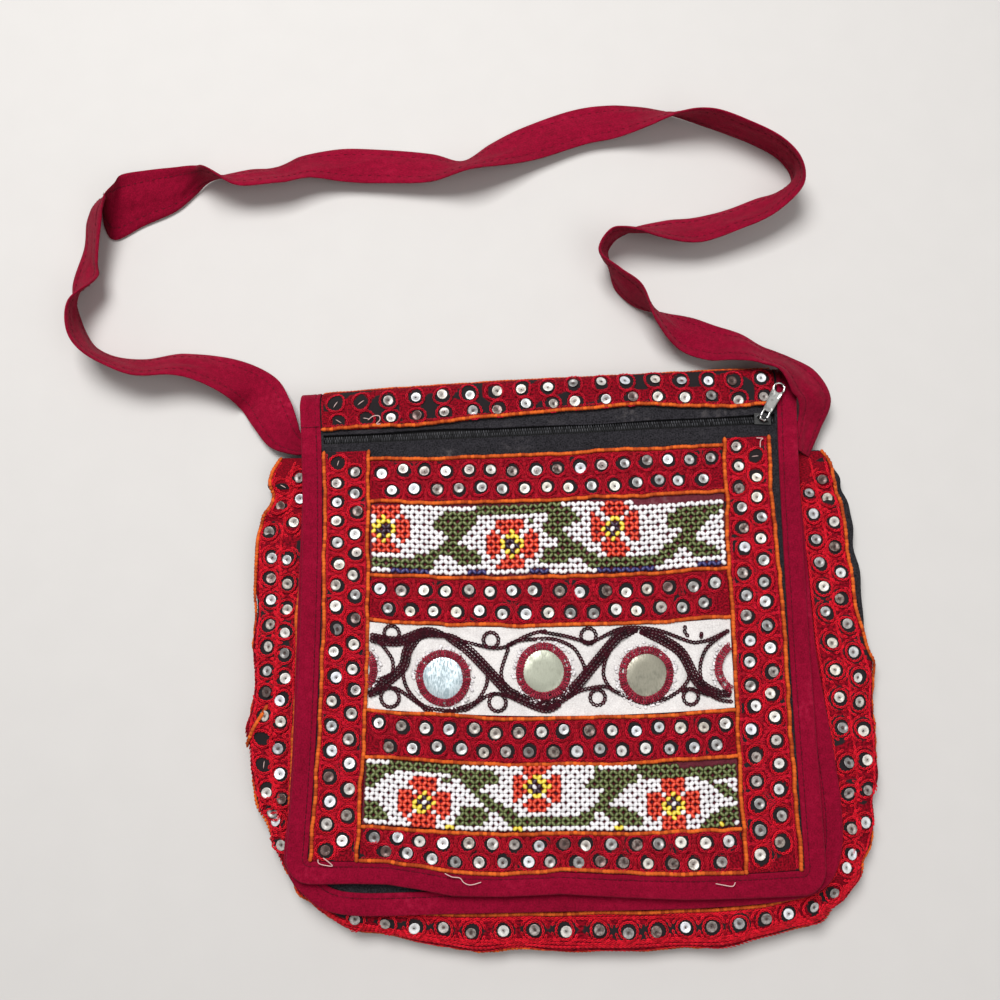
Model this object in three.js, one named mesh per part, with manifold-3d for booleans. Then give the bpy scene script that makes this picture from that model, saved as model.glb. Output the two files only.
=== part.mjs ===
// Embroidered shoulder bag lying on its back, flap shut, strap laid out behind it.
// Millimetres. +X is the wearer's view to the right, +Y runs towards the fold and the strap, +Z is up.
// The back panel's resting face is at Z = 0 and the origin is near its middle.
import * as THREE from 'three';
import { mergeVertices } from 'three/addons/utils/BufferGeometryUtils.js';
import Module from 'manifold-3d';

const wasm = await Module();
wasm.setup();

// Cloth and gaps
const CLOTH = 1.2;
const FLAP_CLOTH = 1.6;
const BINDING_WALL = 1.0;
const BINDING_WIDTH = 12.5;
const TRIM_THICKNESS = 1.0;
const BEAD_THICKNESS = 1.6;
const GAP = 0.3;

// Flap: laid flat it is a rectangle, across from its left edge and down from the fold
const FLAP_WIDTH = 305;
const FLAP_LENGTH = 307;
const FLAP_BACK = 24;
const FOLD_RADIUS = 8;
const FOLD_ARC = FOLD_RADIUS * Math.PI / 2;
const CLOTH_INSET = 2;
const CORNER_RADIUS = 14;
const FOLD_LEFT = { x: -158, y: 149 };
const FOLD_RIGHT = { x: 150, y: 167 };
const HEM_LEFT = { x: -155, y: -138.5 };
const HEM_RIGHT = { x: 149, y: -139 };
const FOLD_BOW = 2;
const HEM_BOW = -5.5;
const LEFT_BOW = 5;
const RIGHT_BOW = -2.5;
const WEAVE_TILT = -4.9;
const WEAVE_CURL = 7;
const FLAP_RISE = 7;
const FLAP_DOME = 2.2;
const FLAP_WAVES = [
  { height: 0.7, across: 1.5, down: 0.6, phase: 0.4 },
  { height: 0.5, across: 2.5, down: 1.5, phase: 2.1 },
];

// Trims on the flap, as distances down from the fold and across from the left edge
const LEFT_BAND = { from: 13.2, to: 41.6, top: 46.5 };
const RIGHT_BAND = { from: 257.8, to: 287.4, top: 44 };
const BANDS_END = 294.2;
const TOP_BAND = { from: -5.5, to: 24.2 };
const ROWS = [
  { name: 'band_1', from: 49.5, to: 80.9, kind: 'band' },
  { name: 'bead_panel_upper', from: 80.9, to: 127.5, kind: 'beads' },
  { name: 'band_2', from: 127.5, to: 157.7, kind: 'band' },
  { name: 'mirror_panel', from: 157.7, to: 208.2, kind: 'white' },
  { name: 'band_3', from: 208.2, to: 235.3, kind: 'band' },
  { name: 'bead_panel_lower', from: 235.3, to: 271.8, kind: 'beads' },
  { name: 'band_4', from: 271.8, to: BANDS_END, kind: 'band' },
];
const MIRROR_DIAMETER = 24.5;
const MIRROR_THICKNESS = 1.2;
const MIRROR_SIDES = 20;
const MIRRORS = [
  { name: 'mirror_1', across: 86.5, down: 188 },
  { name: 'mirror_2', across: 145.5, down: 183 },
  { name: 'mirror_3', across: 206, down: 186.5 },
];

// Zip of the flap pocket
const ZIP_DOWN = 37.5;
const ZIP_SLIT = { from: 14, to: 291, width: 6.4 };
const TAPE_WIDTH = 16;
const TAPE_THICKNESS = 0.7;
const COIL = { from: 14.5, to: 290, width: 4.4, height: 1.7 };
const SLIDER = { across: 283, length: 10, width: 7.2, thickness: 1.4 };
const PULL_ANGLE = 62;
const BAR = { radius: 0.8, length: 7, post: 1.1, rise: 2.4 };
const PULL = { length: 25.5, root: 4.6, tip: 7.2, thickness: 1.2, hole: 2.5 };
const PULL_EYE = { radius: 1.9, bore: 1.15, length: 4 };

// Body: depth of the front below the flap, and the seam where the flap's back leg meets the back panel
const FRONT_DEPTH = 5.6;
const BACK_SEAM_Y = 126.5;
const BACK_EDGE_LIFT = 1.5;
const BACK_EDGE_LIFTED = 20;
const BACK_EDGE_RUN = 36;

// Front seam from the top of the left side round the bottom to the top of the right side.
// x, y: outer edge of the binding; reach: how far the gusset bulges past it
const SEAM = [
  { x: -155, y: 112, reach: 15 },
  { x: -155, y: 99, reach: 22 },
  { x: -155, y: 84, reach: 21.5 },
  { x: -155, y: 66, reach: 30 },
  { x: -154.5, y: 22, reach: 29 },
  { x: -154, y: -28, reach: 27.5 },
  { x: -154, y: -62, reach: 28.5 },
  { x: -153.5, y: -96, reach: 22 },
  { x: -150, y: -127, reach: 11 },
  { x: -140, y: -146, reach: 5 },
  { x: -119, y: -153.5, reach: 9 },
  { x: -62, y: -154, reach: 17.5 },
  { x: 0, y: -153, reach: 20 },
  { x: 78, y: -149, reach: 23 },
  { x: 130, y: -145, reach: 18 },
  { x: 150, y: -138, reach: 15 },
  { x: 159, y: -122, reach: 15 },
  { x: 161, y: -100, reach: 20 },
  { x: 158.5, y: -64, reach: 26.5 },
  { x: 152.5, y: -10, reach: 33 },
  { x: 151, y: 40, reach: 32.5 },
  { x: 150, y: 76, reach: 31 },
  { x: 149, y: 100, reach: 26 },
  { x: 148, y: 116, reach: 17 },
];
const SEAM_STEPS = 46;
const FRONT_CORNERS = { left: 20, right: 26 };
const FRONT_COLUMNS = [0, 0.045, 1 / 6, 1 / 3, 1 / 2, 2 / 3, 5 / 6, 0.955, 1];
const GUSSET_TUCK = 10;
const GUSSET_NOSE = 0.45;
const GUSSET_SAG = 3;
const SAG_FROM = 2;
const SAG_FULL = 14;
const GUSSET_TOP_GAP = 3.1;
const GUSSET_FOOT = 5;
const GUSSET_ANGLES = [-90, -60, -28, 0, 16, 34, 53, 70, 90];
const TRIM_ANGLES = { from: 70, to: 16 };

// Back outline: left side, bottom and right side of the back binding
const BACK_OUTLINE = { left: -152, right: 150, bottom: -146, radius: 30, steps: 6, sideSteps: 8 };
const BACK_COLUMNS = [0, 0.06, 0.115, 0.37, 0.63, 0.885, 0.94, 1];

// Strap: x, y of its middle, low: height of its lower edge, roll: turn about its own run, width
const STRAP_THICKNESS = 2;
const STRAP_STEPS = 106;
const STRAP = [
  { x: -153, y: 118.5, low: 8, roll: -4, width: 10 },
  { x: -161, y: 120.5, low: 7, roll: -7, width: 14 },
  { x: -169.5, y: 127, low: 5.5, roll: -12, width: 24 },
  { x: -178, y: 141, low: 3, roll: -12, width: 29 },
  { x: -187, y: 154.5, low: 1, roll: 0, width: 30 },
  { x: -199, y: 162.5, low: 0.3, roll: 24, width: 30 },
  { x: -217, y: 169, low: 0.3, roll: 38, width: 30 },
  { x: -238, y: 172, low: 0.3, roll: 46, width: 30 },
  { x: -262, y: 170, low: 0.3, roll: 56, width: 30 },
  { x: -285, y: 176, low: 0.3, roll: 70, width: 30 },
  { x: -299, y: 188, low: 0.3, roll: 82, width: 30 },
  { x: -304, y: 207, low: 0.3, roll: 99, width: 30 },
  { x: -301, y: 226, low: 0.3, roll: 136, width: 30 },
  { x: -299, y: 245, low: 0.3, roll: 146, width: 30 },
  { x: -297, y: 265, low: 0.3, roll: 155, width: 30 },
  { x: -290, y: 283, low: 0.3, roll: 178, width: 30 },
  { x: -268, y: 292, low: 0.3, roll: 200, width: 30 },
  { x: -244, y: 296, low: 0.3, roll: 236, width: 30 },
  { x: -224, y: 301, low: 0.3, roll: 285, width: 30 },
  { x: -203, y: 300, low: 0.3, roll: 316, width: 30 },
  { x: -181, y: 302, low: 0.3, roll: 317, width: 30 },
  { x: -163, y: 309, low: 0.3, roll: 326, width: 30 },
  { x: -140, y: 312, low: 0.3, roll: 342, width: 30 },
  { x: -112, y: 311, low: 0.3, roll: 342, width: 30 },
  { x: -80, y: 309, low: 0.3, roll: 334, width: 30 },
  { x: -57, y: 308, low: 0.3, roll: 310, width: 30 },
  { x: -36, y: 318, low: 0.3, roll: 328, width: 30 },
  { x: -14, y: 328, low: 0.3, roll: 344, width: 30 },
  { x: 17, y: 340, low: 0.3, roll: 349, width: 30 },
  { x: 41, y: 344, low: 0.3, roll: 344, width: 30 },
  { x: 64, y: 345, low: 0.3, roll: 322, width: 30 },
  { x: 84, y: 343.5, low: 0.3, roll: 292, width: 30 },
  { x: 105, y: 337.5, low: 0.3, roll: 264, width: 30 },
  { x: 131, y: 327, low: 0.3, roll: 258, width: 30 },
  { x: 149, y: 315.5, low: 0.3, roll: 268, width: 30 },
  { x: 158.5, y: 302.5, low: 0.3, roll: 270, width: 30 },
  { x: 154.5, y: 290, low: 0.3, roll: 246, width: 30 },
  { x: 140, y: 281, low: 0.3, roll: 226, width: 30 },
  { x: 118, y: 271, low: 0.3, roll: 222, width: 30 },
  { x: 95, y: 264, low: 0.3, roll: 216, width: 30 },
  { x: 74, y: 263, low: 0.3, roll: 222, width: 30 },
  { x: 52, y: 262, low: 0.3, roll: 244, width: 30 },
  { x: 37, y: 255, low: 0.3, roll: 272, width: 30 },
  { x: 33, y: 242, low: 0.3, roll: 290, width: 30 },
  { x: 41, y: 228, low: 0.3, roll: 268, width: 30 },
  { x: 54, y: 216, low: 0.3, roll: 266, width: 30 },
  { x: 68, y: 203, low: 0.3, roll: 305, width: 30 },
  { x: 84, y: 194, low: 0.3, roll: 335, width: 30 },
  { x: 101, y: 188, low: 0.3, roll: 340, width: 30 },
  { x: 116, y: 184, low: 1.5, roll: 326, width: 30 },
  { x: 129, y: 176, low: 6, roll: 310, width: 30 },
  { x: 141, y: 169.5, low: 10.5, roll: 310, width: 30 },
  { x: 153.5, y: 158.5, low: 12.5, roll: 332, width: 30 },
  { x: 161, y: 147.5, low: 11, roll: 335, width: 25 },
  { x: 158.5, y: 134.5, low: 7.5, roll: 335, width: 15 },
  { x: 152.5, y: 121.5, low: 7.5, roll: 336, width: 12 },
];

// Finishes
const FINISH = {
  charcoal: { color: 0x343234, roughness: 0.9, metalness: 0 },
  crimson: { color: 0x96183a, roughness: 0.85, metalness: 0 },
  embroidery: { color: 0xb01c2a, roughness: 0.8, metalness: 0 },
  beads: { color: 0xd8d4d6, roughness: 0.3, metalness: 0 },
  white: { color: 0xe8e2e6, roughness: 0.9, metalness: 0 },
  mirror: { color: 0xc8ccd0, roughness: 0.08, metalness: 1 },
  zip: { color: 0x1e1e20, roughness: 0.6, metalness: 0 },
  metal: { color: 0xb8b8b6, roughness: 0.3, metalness: 1 },
};

const lerp = THREE.MathUtils.lerp;
const radians = THREE.MathUtils.degToRad;
const bow = (share) => 4 * share * (1 - share);

const bag = new THREE.Group();

function addPiece(name, geometry, finish) {
  geometry.computeVertexNormals();
  const mesh = new THREE.Mesh(geometry, new THREE.MeshStandardMaterial(FINISH[finish]));
  mesh.name = name;
  bag.add(mesh);
  return mesh;
}

function indexedGeometry(points, faces) {
  const geometry = new THREE.BufferGeometry();
  const places = points.flatMap((point) => [point.x, point.y, point.z]);
  geometry.setAttribute('position', new THREE.Float32BufferAttribute(places, 3));
  geometry.setIndex(faces);
  return geometry;
}

// Closed wall between two grids of points, upper and lower, with the cells that keep(i, j) allows
function wallBetween(upper, lower, keep = () => true) {
  const rows = upper.length;
  const columns = upper[0].length;
  const count = rows * columns;
  const faces = [];
  const kept = (i, j) => i >= 0 && j >= 0 && i < rows - 1 && j < columns - 1 && keep(i, j);
  const quad = (a, b, c, d) => faces.push(a, b, c, a, c, d);
  const side = (a, b) => quad(a, a + count, b + count, b);
  for (let i = 0; i < rows - 1; i += 1) {
    for (let j = 0; j < columns - 1; j += 1) {
      if (!kept(i, j)) continue;
      const a = i * columns + j;
      const b = a + columns;
      quad(a, b, b + 1, a + 1);
      quad(a + count, a + 1 + count, b + 1 + count, b + count);
      if (!kept(i, j - 1)) side(a, b);
      if (!kept(i + 1, j)) side(b, b + 1);
      if (!kept(i, j + 1)) side(b + 1, a + 1);
      if (!kept(i - 1, j)) side(a + 1, a);
    }
  }
  return indexedGeometry([...upper.flat(), ...lower.flat()], faces);
}

// Closed skin over a row of like rings, with both ends capped
function skinRings(rings, profile) {
  const size = profile.length;
  const last = (rings.length - 1) * size;
  const faces = [];
  for (let i = 0; i < rings.length - 1; i += 1) {
    for (let j = 0; j < size; j += 1) {
      const next = (j + 1) % size;
      const a = i * size;
      const b = a + size;
      faces.push(a + j, b + next, b + j, a + j, a + next, b + next);
    }
  }
  for (const [p, q, r] of THREE.ShapeUtils.triangulateShape(profile, [])) {
    faces.push(p, r, q);
    faces.push(last + p, last + q, last + r);
  }
  return indexedGeometry(rings.flat(), faces);
}

// Channel of a binding: x is the distance in from the folded edge, y the height about the cloth's middle
function bindingProfile(cloth) {
  const inner = cloth / 2 + GAP;
  const outer = inner + BINDING_WALL;
  const fold = BINDING_WALL;
  return [
    new THREE.Vector2(0, -outer),
    new THREE.Vector2(BINDING_WIDTH, -outer),
    new THREE.Vector2(BINDING_WIDTH, -inner),
    new THREE.Vector2(fold, -inner),
    new THREE.Vector2(fold, inner),
    new THREE.Vector2(BINDING_WIDTH, inner),
    new THREE.Vector2(BINDING_WIDTH, outer),
    new THREE.Vector2(0, outer),
  ];
}

function toManifold(geometry) {
  const plain = geometry.clone();
  plain.deleteAttribute('normal');
  plain.deleteAttribute('uv');
  const merged = mergeVertices(plain, 1e-4);
  const vertProperties = new Float32Array(merged.attributes.position.array);
  const triVerts = new Uint32Array(merged.index.array);
  return new wasm.Manifold(new wasm.Mesh({ numProp: 3, vertProperties, triVerts }));
}

function joined(geometries) {
  const solid = geometries.map(toManifold).reduce((sum, next) => sum.add(next));
  const mesh = solid.getMesh();
  const geometry = new THREE.BufferGeometry();
  geometry.setAttribute('position', new THREE.BufferAttribute(new Float32Array(mesh.vertProperties), 3));
  geometry.setIndex(new THREE.BufferAttribute(new Uint32Array(mesh.triVerts), 1));
  return geometry;
}

// Flap surface
function foldY(share) {
  return lerp(FOLD_LEFT.y, FOLD_RIGHT.y, share) + FOLD_BOW * bow(share);
}

function hemY(share) {
  return lerp(HEM_LEFT.y, HEM_RIGHT.y, share) + HEM_BOW * bow(share);
}

function flapX(share, run) {
  const left = lerp(FOLD_LEFT.x, HEM_LEFT.x, run) + LEFT_BOW * bow(run);
  const right = lerp(FOLD_RIGHT.x, HEM_RIGHT.x, run) + RIGHT_BOW * bow(run);
  return lerp(left, right, share);
}

const BACK_MIDDLE = FLAP_CLOTH / 2 + GAP + BINDING_WALL;
const FOLD_CENTRE = BACK_MIDDLE + FOLD_RADIUS;

function flapHeight(share, run) {
  const slope = THREE.MathUtils.smoothstep(run, 0, 0.75);
  const dome = FLAP_DOME * Math.sin(Math.PI * share) * Math.sin(Math.PI * run);
  const ease = THREE.MathUtils.smoothstep(run, 0, 0.2) * (1 - THREE.MathUtils.smoothstep(run, 0.7, 0.95));
  const wave = FLAP_WAVES.reduce(
    (sum, w) => sum + w.height * Math.sin(2 * Math.PI * (w.across * share + w.down * run) + w.phase),
    0,
  );
  return FOLD_CENTRE + FOLD_RADIUS + FLAP_RISE * slope + dome + wave * ease;
}

function flapMiddle(across, down) {
  const share = across / FLAP_WIDTH;
  const crest = foldY(share);
  if (down < -FOLD_ARC) {
    const back = (-FOLD_ARC - down) / FLAP_BACK;
    return new THREE.Vector3(flapX(share, 0), lerp(crest - FOLD_RADIUS, BACK_SEAM_Y, back), BACK_MIDDLE);
  }
  if (down < FOLD_ARC) {
    const turn = down / FOLD_RADIUS;
    const y = crest - FOLD_RADIUS + FOLD_RADIUS * Math.cos(turn);
    return new THREE.Vector3(flapX(share, 0), y, FOLD_CENTRE + FOLD_RADIUS * Math.sin(turn));
  }
  const run = (down - FOLD_ARC) / (FLAP_LENGTH - FOLD_ARC);
  const weave = WEAVE_TILT * (share - 0.5) + WEAVE_CURL * (1 - bow(share));
  const y = lerp(crest - FOLD_RADIUS, hemY(share), run) + Math.sin(Math.PI * run) * weave;
  return new THREE.Vector3(flapX(share, run), y, flapHeight(share, run));
}

function flapPoint(across, down, height) {
  const step = 0.5;
  const along = flapMiddle(across, down - step).sub(flapMiddle(across, down + step));
  const sideways = flapMiddle(across + step, down).sub(flapMiddle(across - step, down));
  const normal = sideways.cross(along).normalize();
  return flapMiddle(across, down).addScaledVector(normal, height);
}

// Grid lines shared by every layer of the flap, so that stacked layers keep an even gap
const MIDDLE_STEPS = 9;
const MIDDLE_STEP = (RIGHT_BAND.from - LEFT_BAND.to) / MIDDLE_STEPS;
const MIDDLE_LINES = Array.from({ length: MIDDLE_STEPS + 1 }, (_, i) => LEFT_BAND.to + MIDDLE_STEP * i);
const ACROSS_LINES = [
  CLOTH_INSET,
  BINDING_WIDTH,
  ZIP_SLIT.from,
  ...MIDDLE_LINES,
  RIGHT_BAND.to,
  ZIP_SLIT.to,
  FLAP_WIDTH - BINDING_WIDTH,
  FLAP_WIDTH - CLOTH_INSET,
];
const FOLD_LINES = [-1, -0.75, -0.5, -0.25, 0, 0.25, 0.5, 0.75, 1].map((share) => share * FOLD_ARC);
const ROW_PARTS = { band: 2, beads: 2, white: 2 };
const ROW_LINES = ROWS.flatMap(({ from, to, kind }) => Array.from(
  { length: ROW_PARTS[kind] },
  (_, i) => lerp(from, to, i / ROW_PARTS[kind]),
));
const FOLD_END = 17.5;
const SLIT_LINES = [ZIP_DOWN - ZIP_SLIT.width / 2, ZIP_DOWN + ZIP_SLIT.width / 2];
const DOWN_LINES = [
  -FOLD_ARC - FLAP_BACK,
  ...FOLD_LINES,
  FOLD_END,
  TOP_BAND.to,
  ...SLIT_LINES,
  ...ROW_LINES,
  BANDS_END,
  FLAP_LENGTH - CLOTH_INSET,
];

function linesBetween(lines, from, to) {
  const inside = lines.filter((value) => value > from + 1 && value < to - 1);
  return [from, ...inside, to];
}

function flapGrid(across, down, height) {
  return down.map((d) => across.map((a) => flapPoint(a, d, height)));
}

function flapLayer(across, down, low, high, keep) {
  return wallBetween(flapGrid(across, down, high), flapGrid(across, down, low), keep);
}

const TRIM_LOW = FLAP_CLOTH / 2 + GAP;

function trimPiece(name, across, down, thickness, finish) {
  const acrossLines = linesBetween(ACROSS_LINES, across.from + GAP / 2, across.to - GAP / 2);
  const downLines = linesBetween(DOWN_LINES, down.from + GAP / 2, down.to - GAP / 2);
  addPiece(name, flapLayer(acrossLines, downLines, TRIM_LOW, TRIM_LOW + thickness), finish);
}

function buildFlap() {
  const slitRow = DOWN_LINES.indexOf(SLIT_LINES[0]);
  const slitFrom = ACROSS_LINES.indexOf(ZIP_SLIT.from);
  const slitTo = ACROSS_LINES.indexOf(ZIP_SLIT.to);
  const lastRow = DOWN_LINES.length - 2;
  const lastColumn = ACROSS_LINES.length - 2;
  const inSlit = (i, j) => i === slitRow && j >= slitFrom && j < slitTo;
  const inCorner = (i, j) => i === lastRow && (j === 0 || j === lastColumn);
  const keep = (i, j) => !inSlit(i, j) && !inCorner(i, j);
  addPiece('flap', flapLayer(ACROSS_LINES, DOWN_LINES, -FLAP_CLOTH / 2, FLAP_CLOTH / 2, keep), 'charcoal');
}

// Route round the flap's free edges at a distance in from them
function flapEdgeRoute(inset) {
  const radius = CORNER_RADIUS - inset;
  const side = DOWN_LINES.filter((down) => down < FLAP_LENGTH - CORNER_RADIUS - 2);
  const hem = ACROSS_LINES.filter((a) => a > CORNER_RADIUS + 2 && a < FLAP_WIDTH - CORNER_RADIUS - 2);
  const turns = [0, 0.25, 0.5, 0.75, 1].map((share) => share * Math.PI / 2);
  const corner = (t) => ({
    across: CORNER_RADIUS - radius * Math.cos(t),
    down: FLAP_LENGTH - CORNER_RADIUS + radius * Math.sin(t),
  });
  const mirrored = ({ across, down }) => ({ across: FLAP_WIDTH - across, down });
  const left = side.map((down) => ({ across: inset, down }));
  const leftTurn = turns.map(corner);
  const bottom = hem.map((across) => ({ across, down: FLAP_LENGTH - inset }));
  const rightTurn = leftTurn.map(mirrored).reverse();
  const right = left.map(mirrored).reverse();
  return [...left, ...leftTurn, ...bottom, ...rightTurn, ...right];
}

function buildFlapBinding() {
  const profile = bindingProfile(FLAP_CLOTH);
  const routes = profile.map((corner) => flapEdgeRoute(corner.x));
  const rings = routes[0].map((_, i) => profile.map(
    (corner, j) => flapPoint(routes[j][i].across, routes[j][i].down, corner.y),
  ));
  addPiece('flap_binding', skinRings(rings, profile), 'crimson');
}

function buildTrims() {
  trimPiece('band_top', { from: LEFT_BAND.from, to: ZIP_SLIT.to }, TOP_BAND, TRIM_THICKNESS, 'embroidery');
  trimPiece('band_left', LEFT_BAND, { from: LEFT_BAND.top, to: BANDS_END }, TRIM_THICKNESS, 'embroidery');
  trimPiece('band_right', RIGHT_BAND, { from: RIGHT_BAND.top, to: BANDS_END }, TRIM_THICKNESS, 'embroidery');
  const kinds = {
    band: { thickness: TRIM_THICKNESS, finish: 'embroidery' },
    beads: { thickness: BEAD_THICKNESS, finish: 'beads' },
    white: { thickness: TRIM_THICKNESS, finish: 'white' },
  };
  const middle = { from: LEFT_BAND.to, to: RIGHT_BAND.from };
  for (const row of ROWS) {
    const { thickness, finish } = kinds[row.kind];
    trimPiece(row.name, middle, row, thickness, finish);
  }
}

// A frame of reference on the flap: X across, Y towards the fold, Z out of the cloth
function flapFrame(across, down, height) {
  const origin = flapPoint(across, down, height);
  const toFold = flapPoint(across, down - 1, height).sub(origin).normalize();
  const out = flapPoint(across, down, height + 1).sub(origin).normalize();
  const right = new THREE.Vector3().crossVectors(toFold, out).normalize();
  const frame = new THREE.Matrix4().makeBasis(right, new THREE.Vector3().crossVectors(out, right), out);
  return frame.setPosition(origin);
}

function buildMirrors() {
  const lift = TRIM_LOW + TRIM_THICKNESS + GAP * 2 + MIRROR_THICKNESS / 2;
  const radius = MIRROR_DIAMETER / 2;
  for (const { name, across, down } of MIRRORS) {
    const disc = new THREE.CylinderGeometry(radius, radius, MIRROR_THICKNESS, MIRROR_SIDES);
    disc.rotateX(Math.PI / 2);
    const mesh = addPiece(name, disc, 'mirror');
    mesh.applyMatrix4(flapFrame(across, down, lift));
  }
}

function buildZip() {
  const tapeTop = -FLAP_CLOTH / 2 - GAP;
  const tapeAcross = linesBetween(ACROSS_LINES, ZIP_SLIT.from, ZIP_SLIT.to);
  const tapeDown = linesBetween(DOWN_LINES, ZIP_DOWN - TAPE_WIDTH / 2, ZIP_DOWN + TAPE_WIDTH / 2);
  addPiece('zip_tape', flapLayer(tapeAcross, tapeDown, tapeTop - TAPE_THICKNESS, tapeTop), 'zip');
  const coilAcross = linesBetween(ACROSS_LINES, COIL.from, COIL.to);
  const coilDown = [ZIP_DOWN - COIL.width / 2, ZIP_DOWN + COIL.width / 2];
  const coilLow = tapeTop + GAP;
  addPiece('zip_coil', flapLayer(coilAcross, coilDown, coilLow, coilLow + COIL.height), 'zip');

  const plateLow = coilLow + COIL.height + GAP;
  const barHeight = plateLow + SLIDER.thickness + BAR.rise;
  const plate = new THREE.BoxGeometry(SLIDER.length, SLIDER.width, SLIDER.thickness);
  plate.translate(0, 0, plateLow + SLIDER.thickness / 2);
  const turn = radians(PULL_ANGLE - 90);
  const bar = new THREE.CylinderGeometry(BAR.radius, BAR.radius, BAR.length, 16);
  bar.rotateZ(Math.PI / 2);
  bar.translate(0, 0, barHeight);
  const postHeight = barHeight + BAR.radius - plateLow;
  const posts = [-1, 1].map((end) => {
    const post = new THREE.BoxGeometry(BAR.post, 2 * BAR.radius, postHeight);
    return post.translate(end * (BAR.length - BAR.post) / 2, 0, plateLow + postHeight / 2);
  });
  const bridge = [bar, ...posts].map((shape) => shape.rotateZ(turn));
  const seat = flapFrame(SLIDER.across, ZIP_DOWN, 0);
  addPiece('zip_slider', joined([plate, ...bridge]), 'metal').applyMatrix4(seat);
  const hinge = new THREE.Matrix4().makeRotationZ(turn).setPosition(0, 0, barHeight);
  addPiece('zip_pull', pullGeometry(), 'metal').applyMatrix4(seat.clone().multiply(hinge));
}

// Pull with its hinge along X at the origin and its tip towards +Y
function pullGeometry() {
  const outline = new THREE.Shape();
  const start = PULL_EYE.radius * 0.75;
  const shoulder = PULL.length * 0.3;
  const tipCentre = PULL.length - PULL.tip / 2;
  outline.moveTo(-PULL.root / 2, start);
  outline.lineTo(PULL.root / 2, start);
  outline.lineTo(PULL.tip / 2, shoulder);
  outline.lineTo(PULL.tip / 2, tipCentre);
  outline.absarc(0, tipCentre, PULL.tip / 2, 0, Math.PI, false);
  outline.lineTo(-PULL.tip / 2, shoulder);
  const hole = new THREE.Path();
  hole.absarc(0, tipCentre, PULL.hole, 0, 2 * Math.PI, true);
  outline.holes.push(hole);
  const bladeDepth = { depth: PULL.thickness, bevelEnabled: false, curveSegments: 12 };
  const blade = new THREE.ExtrudeGeometry(outline, bladeDepth);
  blade.translate(0, 0, -PULL.thickness / 2);
  const ring = new THREE.Shape();
  ring.absarc(0, 0, PULL_EYE.radius, 0, 2 * Math.PI, false);
  const bore = new THREE.Path();
  bore.absarc(0, 0, PULL_EYE.bore, 0, 2 * Math.PI, true);
  ring.holes.push(bore);
  const eyeDepth = { depth: PULL_EYE.length, bevelEnabled: false, curveSegments: 9 };
  const eye = new THREE.ExtrudeGeometry(ring, eyeDepth);
  eye.translate(0, 0, -PULL_EYE.length / 2);
  eye.rotateY(Math.PI / 2);
  return joined([blade, eye]);
}

// Height of the front panel's middle anywhere in plan
function frontHeight(x, y) {
  const share = THREE.MathUtils.clamp((x - FOLD_LEFT.x) / FLAP_WIDTH, 0, 1);
  const top = foldY(share) - FOLD_RADIUS;
  const run = THREE.MathUtils.clamp((top - y) / (top - hemY(share)), 0, 1);
  return flapHeight(share, run) - FRONT_DEPTH;
}

// Smooth route through a table's columns: at(share) gives the named values
function tableRoute(rows, columns) {
  const last = rows.length - 1;
  const column = (name, share) => {
    const place = THREE.MathUtils.clamp(share, 0, 1) * last;
    const i = Math.min(Math.floor(place), last - 1);
    const values = [i - 1, i, i + 1, i + 2].map((k) => rows[THREE.MathUtils.clamp(k, 0, last)][name]);
    const t = place - i;
    const [a, b, c, d] = values;
    const cubic = -a + 3 * b - 3 * c + d;
    const square = 2 * a - 5 * b + 4 * c - d;
    return b + 0.5 * t * (c - a + t * (square + t * cubic));
  };
  return (share) => Object.fromEntries(columns.map((name) => [name, column(name, share)]));
}

const seamAt = tableRoute(SEAM, ['x', 'y', 'reach']);

function seamStation(share) {
  const step = 0.004;
  const here = seamAt(share);
  const before = seamAt(share - step);
  const after = seamAt(share + step);
  const run = new THREE.Vector2(after.x - before.x, after.y - before.y).normalize();
  return { ...here, outX: run.y, outY: -run.x };
}

const SEAM_SHARES = Array.from({ length: SEAM_STEPS + 1 }, (_, i) => i / SEAM_STEPS);

function seamPoint(station, outward) {
  return { x: station.x + station.outX * outward, y: station.y + station.outY * outward };
}

function buildFrontBinding() {
  const profile = bindingProfile(CLOTH);
  const rings = SEAM_SHARES.map((share) => {
    const station = seamStation(share);
    return profile.map((corner) => {
      const { x, y } = seamPoint(station, -corner.x);
      return new THREE.Vector3(x, y, frontHeight(x, y) + corner.y);
    });
  });
  addPiece('front_binding', skinRings(rings, profile), 'crimson');
}

// Grid filling a U-shaped outline, from its left side to its right side and down to its bottom
function fillOutline(left, bottom, right, columns) {
  const rows = left.length - 1;
  const last = columns.length - 1;
  return left.map((from, i) => columns.map((u, j) => {
    const v = i / rows;
    const blend = (axis) => {
      const top = lerp(left[0][axis], right[0][axis], u);
      const foot = lerp(bottom[0][axis], bottom[last][axis], u);
      return lerp(from[axis], right[i][axis], u) + lerp(top, bottom[j][axis], v) - lerp(top, foot, v);
    };
    return { x: blend('x'), y: blend('y') };
  }));
}

function buildFrontPanel() {
  const edge = (place) => seamPoint(seamStation(place / SEAM_STEPS), -CLOTH_INSET);
  const left = Array.from({ length: FRONT_CORNERS.left + 1 }, (_, i) => edge(i));
  const right = left.map((_, i) => edge(SEAM_STEPS - i));
  const bottom = FRONT_COLUMNS.map((share) => edge(lerp(FRONT_CORNERS.left, FRONT_CORNERS.right, share)));
  const plan = fillOutline(left, bottom, right, FRONT_COLUMNS);
  const level = (offset) => plan.map((row) => row.map(
    ({ x, y }) => new THREE.Vector3(x, y, frontHeight(x, y) + offset),
  ));
  addPiece('front_panel', wallBetween(level(CLOTH / 2), level(-CLOTH / 2)), 'charcoal');
}

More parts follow.
